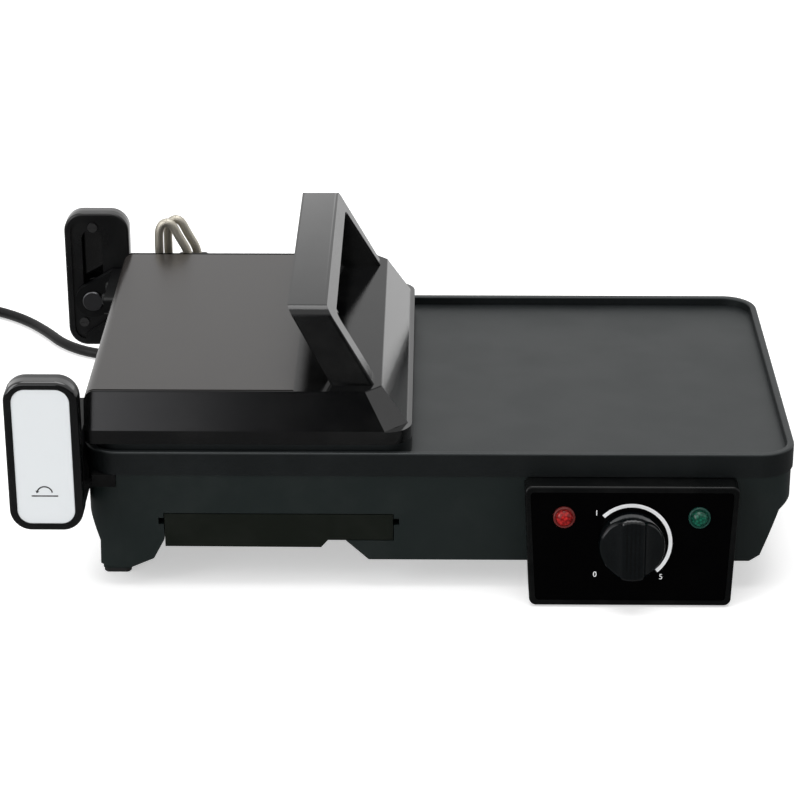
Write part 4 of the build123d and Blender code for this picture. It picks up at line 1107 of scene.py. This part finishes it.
@dataclass
class DialPrint:
    """The white dial print on the fascia: an arc and plain numbers."""

    middle: Point = (127.0 * MM, -129.85 * MM, 35.5 * MM)
    lean: float = math.radians(8.0)
    knob_up: float = 2.2 * MM
    inset: float = -0.5 * MM
    depth: float = 0.04 * MM
    arc_radius: float = 21.9 * MM
    arc_wide: float = 2.1 * MM
    arc_start: float = 135.6
    arc_end: float = -48.9
    digit_tall: float = 3.2 * MM
    digit_lift: float = 0.005 * MM
    font_share: float = 1.4
    digits: tuple[tuple[str, float, float], ...] = (
        ("1", -19.6, 17.4), ("5", 17.0, -20.1), ("0", -20.0, -18.8),
    )

    def axes(self) -> tuple[Vector, Vector, Vector]:
        """Find the panel's directions.

        Returns:
            The ways to its right, up and out of it.
        """
        right = Vector((1.0, 0.0, 0.0))
        up = Vector((0.0, math.sin(self.lean), math.cos(self.lean)))
        return right, up, right.cross(up)

    def at(self, x: float, y: float) -> Vector:
        """Turn a place on the panel, from the knob's middle, into the row frame."""
        right, up, out = self.axes()
        return Vector(self.middle) + right * x + up * (self.knob_up + y) + out * self.inset

    def digit(self, text: str, x: float, y: float) -> Object:
        """Print one number.

        Args:
            text: The number.
            x: How far it is to the right of the knob's middle, in millimetres.
            y: How far it is above it.

        Returns:
            The new piece.
        """
        font = bpy.data.curves.new("digit", "FONT")
        font.body = text
        font.size = self.digit_tall * self.font_share
        font.align_x = "CENTER"
        font.align_y = "CENTER"
        font.extrude = self.depth / 2
        holder = bpy.data.objects.new("digit", font)
        right, up, out = self.axes()
        mesh = bpy.data.meshes.new_from_object(holder)
        turn = Matrix((right, up, out)).transposed().to_4x4()
        place = self.at(x * MM, y * MM) + out * (self.depth / 2 + self.digit_lift)
        mesh.transform(Matrix.Translation(place) @ turn)
        bpy.data.objects.remove(holder)
        bpy.data.curves.remove(font)
        mesh.materials.clear()
        return new_piece(f"dial_digit_{text}", mesh, Finishes.WHITE_INK)

    def build(self) -> None:
        """Print the arc and the numbers."""
        out = self.axes()[2]
        band = arc_band((0.0, 0.0), self.arc_radius, self.arc_wide, self.arc_start, self.arc_end, 72)
        outline = [self.at(x, y) for x, y in band]
        pieces = [flat_print("dial_arc", [outline], out, self.depth, Finishes.WHITE_INK)]
        pieces += [self.digit(*entry) for entry in self.digits]
        for piece in pieces:
            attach(piece, Body.BASE.value)


@dataclass
class Knob:
    """The dial knob: a round skirt with a scoop on each side of its ridged bar."""

    radius: float = 18.7
    tall: float = 14.9
    gap: float = 0.4
    taper: float = 0.045
    rim: float = 2.2
    scoop_radius: float = 15.5
    scoop_out: float = 19.4
    scoop_level: float = 22.9
    grooves: tuple[float, ...] = (-3.6, -1.2, 1.2, 3.6)
    groove_half: float = 0.4
    groove_deep: float = 0.7
    groove_wall: float = 0.06
    edge_share: float = 0.9995
    rows: int = 72
    columns: int = 90

    def level(self, x: float, y: float) -> float:
        """Find the knob's height over the panel, in millimetres.

        Args:
            x: How far the place is to the right of the knob's middle.
            y: How far it is above it.

        Returns:
            The height there.
        """
        top = self.tall
        if any(abs(x - groove) < self.groove_half + 0.01 for groove in self.grooves):
            top -= self.groove_deep
        aside = self.scoop_out - abs(x)
        if abs(aside) < self.scoop_radius:
            top = min(top, self.scoop_level - math.sqrt(self.scoop_radius**2 - aside**2))
        inside = self.radius - math.hypot(x, y)
        if inside < self.rim:
            top -= self.rim - math.sqrt(max(self.rim**2 - (self.rim - inside) ** 2, 0.0))
        return top

    def lines(self) -> list[float]:
        """Place the lines of points across the knob, in millimetres.

        Returns:
            How far each is to the right of its middle.
        """
        edge = self.radius * self.edge_share
        clear = 2 * self.groove_wall
        places = [edge * math.sin(math.pi * (n / self.columns - 0.5)) for n in range(self.columns + 1)]
        places = [x for x in places if all(abs(abs(x - g) - self.groove_half) > clear for g in self.grooves)]
        for groove in self.grooves:
            for side in (-1, 1):
                wall = groove + side * self.groove_half
                places += [wall, wall + side * self.groove_wall]
        return sorted(places)

    def build(self) -> None:
        """Make the knob on the panel."""
        dial = DialPrint()
        right, up, out = dial.axes()
        foot = dial.at(0.0, 0.0) - out * dial.inset
        mesh = bmesh.new()

        def spot(x: float, y: float, z: float) -> BMVert:
            """Add a point given across, up and out of the panel, in millimetres."""
            shrink = 1.0 - self.taper * z / self.tall
            return mesh.verts.new(foot + (right * x * shrink + up * y * shrink + out * z) * MM)

        grid = []
        swings = [math.sin(math.pi * (n / self.rows - 0.5)) for n in range(self.rows + 1)]
        for x in self.lines():
            reach = math.sqrt(self.radius**2 - x**2)
            heights = [reach * swing for swing in swings]
            grid.append([(x, y, spot(x, y, self.level(x, y))) for y in heights])
        for here, there in zip(grid, grid[1:]):
            for n in range(self.rows):
                mesh.faces.new((here[n][2], there[n][2], there[n + 1][2], here[n + 1][2]))
        rim = grid[0] + [line[-1] for line in grid[1:-1]] + list(reversed(grid[-1]))
        rim += [line[0] for line in reversed(grid[1:-1])]
        low = [spot(x, y, self.gap) for x, y, top in rim]
        band(mesh, [top for x, y, top in rim], low)
        mesh.faces.new(low)
        knob = from_bmesh("control_knob_form", mesh, Finishes.KNOB)
        stand_for(knob, "control_knob", Body.KNOB, Slot.KNOB)


@dataclass
class Lens:
    """One lamp's lens: a dome in a rounded collar, with a stem through the panel."""

    node: str
    finish: LampLens
    slot: Slot
    sides: int = 72
    profile: tuple[Point, ...] = (
        (0.0, 4.2, 0.0), (2.4, 4.2, 1.6), (4.2, 2.6, 1.2), (4.3, 1.1, 0.2), (4.7, 1.1, 0.2), (5.0, 1.7, 0.4),
        (6.15, 1.6, 0.7), (6.2, 0.0, 0.0), (4.0, 0.0, 0.0), (4.0, -9.0, 0.0), (0.0, -9.0, 0.0),
    )

    def build(self) -> None:
        """Turn the lens round the lamp's axis."""
        right, up, out = DialPrint().axes()
        middle = self.finish.middle()
        mesh = bmesh.new()
        line = rounded(self.profile, 4)
        first, last = [mesh.verts.new(middle + out * line[k].y * MM) for k in (0, -1)]
        angles = [2 * math.pi * k / self.sides for k in range(self.sides)]
        ways = [right * math.cos(angle) + up * math.sin(angle) for angle in angles]
        rings = [
            [mesh.verts.new(middle + (way * point.x + out * point.y) * MM) for way in ways]
            for point in line[1:-1]
        ]
        for tip, ring in ((first, rings[0]), (last, rings[-1])):
            for here, there in zip(ring, ring[1:] + ring[:1]):
                mesh.faces.new((tip, here, there))
        for here, there in zip(rings, rings[1:]):
            band(mesh, here, there)
        stand_for(from_bmesh(f"{self.node}_form", mesh, self.finish), self.node, Body.BASE, self.slot)


@dataclass
class Handle:
    """The slanted loop handle on the lid, in millimetres from the plate's corner."""

    top: float = 162.0
    foot: float = 117.0
    left_top: float = 115.2
    left_foot: float = 138.8
    right_top: float = 137.2
    right_foot: float = 163.4
    softness: float = 2.2
    corners: tuple[Point, ...] = (
        (20.5, 117.0, 0.0), (25.5, 162.0, 6.0), (217.0, 162.0, 3.0), (216.5, 117.0, 0.0),
        (205.3, 117.0, 0.0), (205.3, 154.0, 3.0), (37.5, 154.0, 6.0), (37.5, 117.0, 0.0),
    )

    def build(self) -> None:
        """Make the loop and soften the edges of its two slanted faces."""
        mesh = bmesh.new()
        loops = []
        for at_top, at_foot in ((self.left_top, self.left_foot), (self.right_top, self.right_foot)):
            slope = (at_foot - at_top) / (self.top - self.foot)
            loops.append([
                mesh.verts.new((
                    (PLATE_X + at_top + slope * (self.top - point.y)) * MM,
                    (PLATE_Y + point.x) * MM,
                    point.y * MM,
                ))
                for point in rounded(self.corners, 10)
            ])
        low = (self.foot + 0.01) * MM
        edges = [edge for face in prism(mesh, *loops) for edge in face.edges]
        soft = [edge for edge in edges if max(v.co.z for v in edge.verts) > low]
        bmesh.ops.bevel(mesh, geom=soft, offset=self.softness * MM, segments=4, profile=0.5, affect="EDGES")
        stand_for(from_bmesh("lid_handle_form", mesh, Finishes.HANDLE), "lid_handle", Body.LID, Slot.GLOSS)


@dataclass
class FoldMark:
    """A small print on the front arm's plate: the lid's swing over the level base."""

    middle_x: float = -199.2 * MM
    level: float = 67.2 * MM
    depth: float = 0.04 * MM
    half_line: float = 7.4 * MM
    stroke: float = 0.8 * MM
    swing: float = 4.3 * MM
    lift: float = 1.4 * MM
    swing_from: float = 10.0
    swing_to: float = 158.0
    head: float = 1.5 * MM
    head_share: float = 0.75

    def build(self) -> None:
        """Print the level line, the half circle over it and its arrow head."""
        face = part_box("front_arm_plate")[0].y

        def at(x: float, z: float) -> Point:
            """Turn a place on the plate into the row frame."""
            return (self.middle_x + x, face, self.level + z)

        half = self.stroke / 2
        bar = [at(x * self.half_line, z * half) for x, z in ((-1, -1), (1, -1), (1, 1), (-1, 1))]
        middle = (0.0, self.lift)
        sweep = arc_band(middle, self.swing, self.stroke, self.swing_from, self.swing_to, 36)
        arc = [at(*place) for place in sweep]
        tip_angle = math.radians(self.swing_to)
        out = Vector((math.cos(tip_angle), math.sin(tip_angle)))
        tip = Vector(middle) + out * self.swing
        along = Vector((-out.y, out.x)) * self.head
        across = out * self.head * self.head_share
        arrow = [at(*place) for place in (tip + along, tip - across, tip + across)]
        front = Vector((0.0, -1.0, 0.0))
        mark = flat_print("fold_mark", [bar, arc, arrow], front, self.depth, Finishes.BLACK_INK)
        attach(mark, Body.BASE.value)


@dataclass
class GrillBase:
    """The base: housing, lower plate, feet, tray and what is sealed inside."""

    def build(self) -> None:
        """Dress the base's nodes."""
        dress(Finishes.HOUSING, "base_housing", "bottom_cover")
        dress(Finishes.TRAY, "drip_tray")
        dress(Finishes.COATING, "lower_plate")
        dress(Finishes.RUBBER, "rubber_feet")
        dress(Finishes.ELEMENT, "lower_grill_element", "griddle_element")
        dress(Finishes.BRIGHT_SHEET, "grill_reflector", "griddle_reflector")
        dress(Finishes.CERAMIC, "terminal_block")
        dress(Finishes.ARM, "base_conduit_gland")


@dataclass
class ControlBox:
    """The box on the front: case, fascia, lamps, thermostat and knob."""

    def build(self) -> None:
        """Dress the box's nodes and print its dial."""
        dress(Finishes.CASE, "control_box")
        dress(Finishes.FASCIA, "control_fascia")
        Lens("power_lamp_lens", Finishes.RED, Slot.RED).build()
        Lens("ready_lamp_lens", Finishes.GREEN, Slot.GREEN).build()
        dress(Finishes.HOLDER, "lamp_holders")
        dress(Finishes.CERAMIC, "thermostat_body")
        dress(Finishes.BRIGHT_SHEET, "thermostat_shaft")
        Knob().build()
        DialPrint().build()


@dataclass
class HingeArms:
    """The two hinge arms with their plates, brackets, pins and lugs."""

    arm_foot: float = 46.5 * MM
    arm_tall: float = 87.5 * MM
    shown_foot: float = 45.7 * MM
    shown_tall: float = 90.4 * MM
    lug_foot: float = 88.0 * MM
    lug_clear: float = 91.0 * MM
    lug_share: float = 11.0 / 18.0
    screw_drop: float = 3.5 * MM
    cheek_left: float = -187.2 * MM
    cheek_wide: float = 6.4 * MM
    cheek: tuple[Point, ...] = (
        (75.0, 49.0, 1.5), (125.0, 49.0, 1.5), (125.0, 66.5, 1.0),
        (121.0, 66.5, 0.5), (121.0, 84.0, 1.5), (75.0, 84.0, 1.5),
    )

    def close_gap(self, name: str, side: int) -> None:
        """Stand a cheek on the bracket, between the arm and the housing.

        Args:
            name: The piece's name.
            side: -1 for the front arm, 1 for the rear one.
        """
        mesh = bmesh.new()
        loops = []
        for x in (self.cheek_left, self.cheek_left + self.cheek_wide):
            spots = [(x, (MIDDLE_Y + side * point.x) * MM, point.y * MM) for point in rounded(self.cheek, 4)]
            loops.append([mesh.verts.new(spot) for spot in spots])
        prism(mesh, *loops)
        piece = from_bmesh(name, mesh, Finishes.BRACKET)
        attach(piece, Body.BASE.value)

    def taller(self, point: Vector) -> Vector:
        """Stretch an arm to its photographed height."""
        share = (point.z - self.arm_foot) / self.arm_tall
        return Vector((point.x, point.y, self.shown_foot + share * self.shown_tall))

    def lower_foot(self, point: Vector) -> Vector:
        """Bring the top of a lug's foot down.

        Args:
            point: A point of the lug.

        Returns:
            Its new place.
        """
        if point.z < self.lug_clear:
            return point
        return Vector((point.x, point.y, self.lug_foot + (point.z - self.lug_foot) * self.lug_share))

    def build(self) -> None:
        """Shape and dress the arms and print the front plate's mark."""
        for end, side in (("front", -1), ("rear", 1)):
            self.close_gap(f"{end}_cheek", side)
            reshaped(f"{end}_arm_outer", Finishes.GLOSS, Body.BASE, Slot.GLOSS, self.taller)
            reshaped(f"{end}_arm_inner", Finishes.ARM, Body.BASE, Slot.ARM, self.taller)
            reshaped(f"{end}_arm_plate", Finishes.ARM_PLATE, Body.BASE, Slot.ARM_PLATE, self.taller)
            reshaped(f"{end}_lid_lug", Finishes.BRACKET, Body.LID, Slot.BRACKET, self.lower_foot)
            dress(Finishes.BRACKET, f"{end}_hinge_bracket")
            dress(Finishes.PIN, f"{end}_hinge_pin")
        drop = Vector((0.0, 0.0, self.screw_drop))
        reshaped("lug_screws", Finishes.BRACKET, Body.LID, Slot.SCREW, lambda point: point - drop)
        dress(Finishes.SCREW, "arm_screws")
        FoldMark().build()


@dataclass
class Lid:
    """The lid: cover, steel skin, upper plate, handle and what is inside."""

    middle_y: float = MIDDLE_Y * MM
    skin_share: float = 0.985

    def between_grooves(self, point: Vector) -> Vector:
        """Shorten the skin, so that a shadow groove shows along its front and back."""
        return Vector((point.x, self.middle_y + (point.y - self.middle_y) * self.skin_share, point.z))

    def build(self) -> None:
        """Shape and dress the lid."""
        dress(Finishes.COVER, "lid_cover")
        reshaped("lid_top_skin", Finishes.SKIN, Body.LID, Slot.SKIN, self.between_grooves)
        Handle().build()
        dress(Finishes.COATING, "upper_plate")
        dress(Finishes.ELEMENT, "upper_element")
        dress(Finishes.BRIGHT_SHEET, "lid_reflector")
        dress(Finishes.ARM, "lid_conduit_gland")


def main() -> None:
    """Build the studio and the grill's looks."""
    logging.basicConfig(level=logging.INFO, format="%(name)s: %(message)s")
    Studio().build()
    MainsCord().build()
    Conduit("front_conduit", 0.0, (MIDDLE_Y + 122.9) * MM).build()
    Conduit("rear_conduit", 5.2 * MM, (MIDDLE_Y + 129.0) * MM).build()
    GrillBase().build()
    ControlBox().build()
    HingeArms().build()
    Lid().build()


if __name__ == "__main__":
    main()
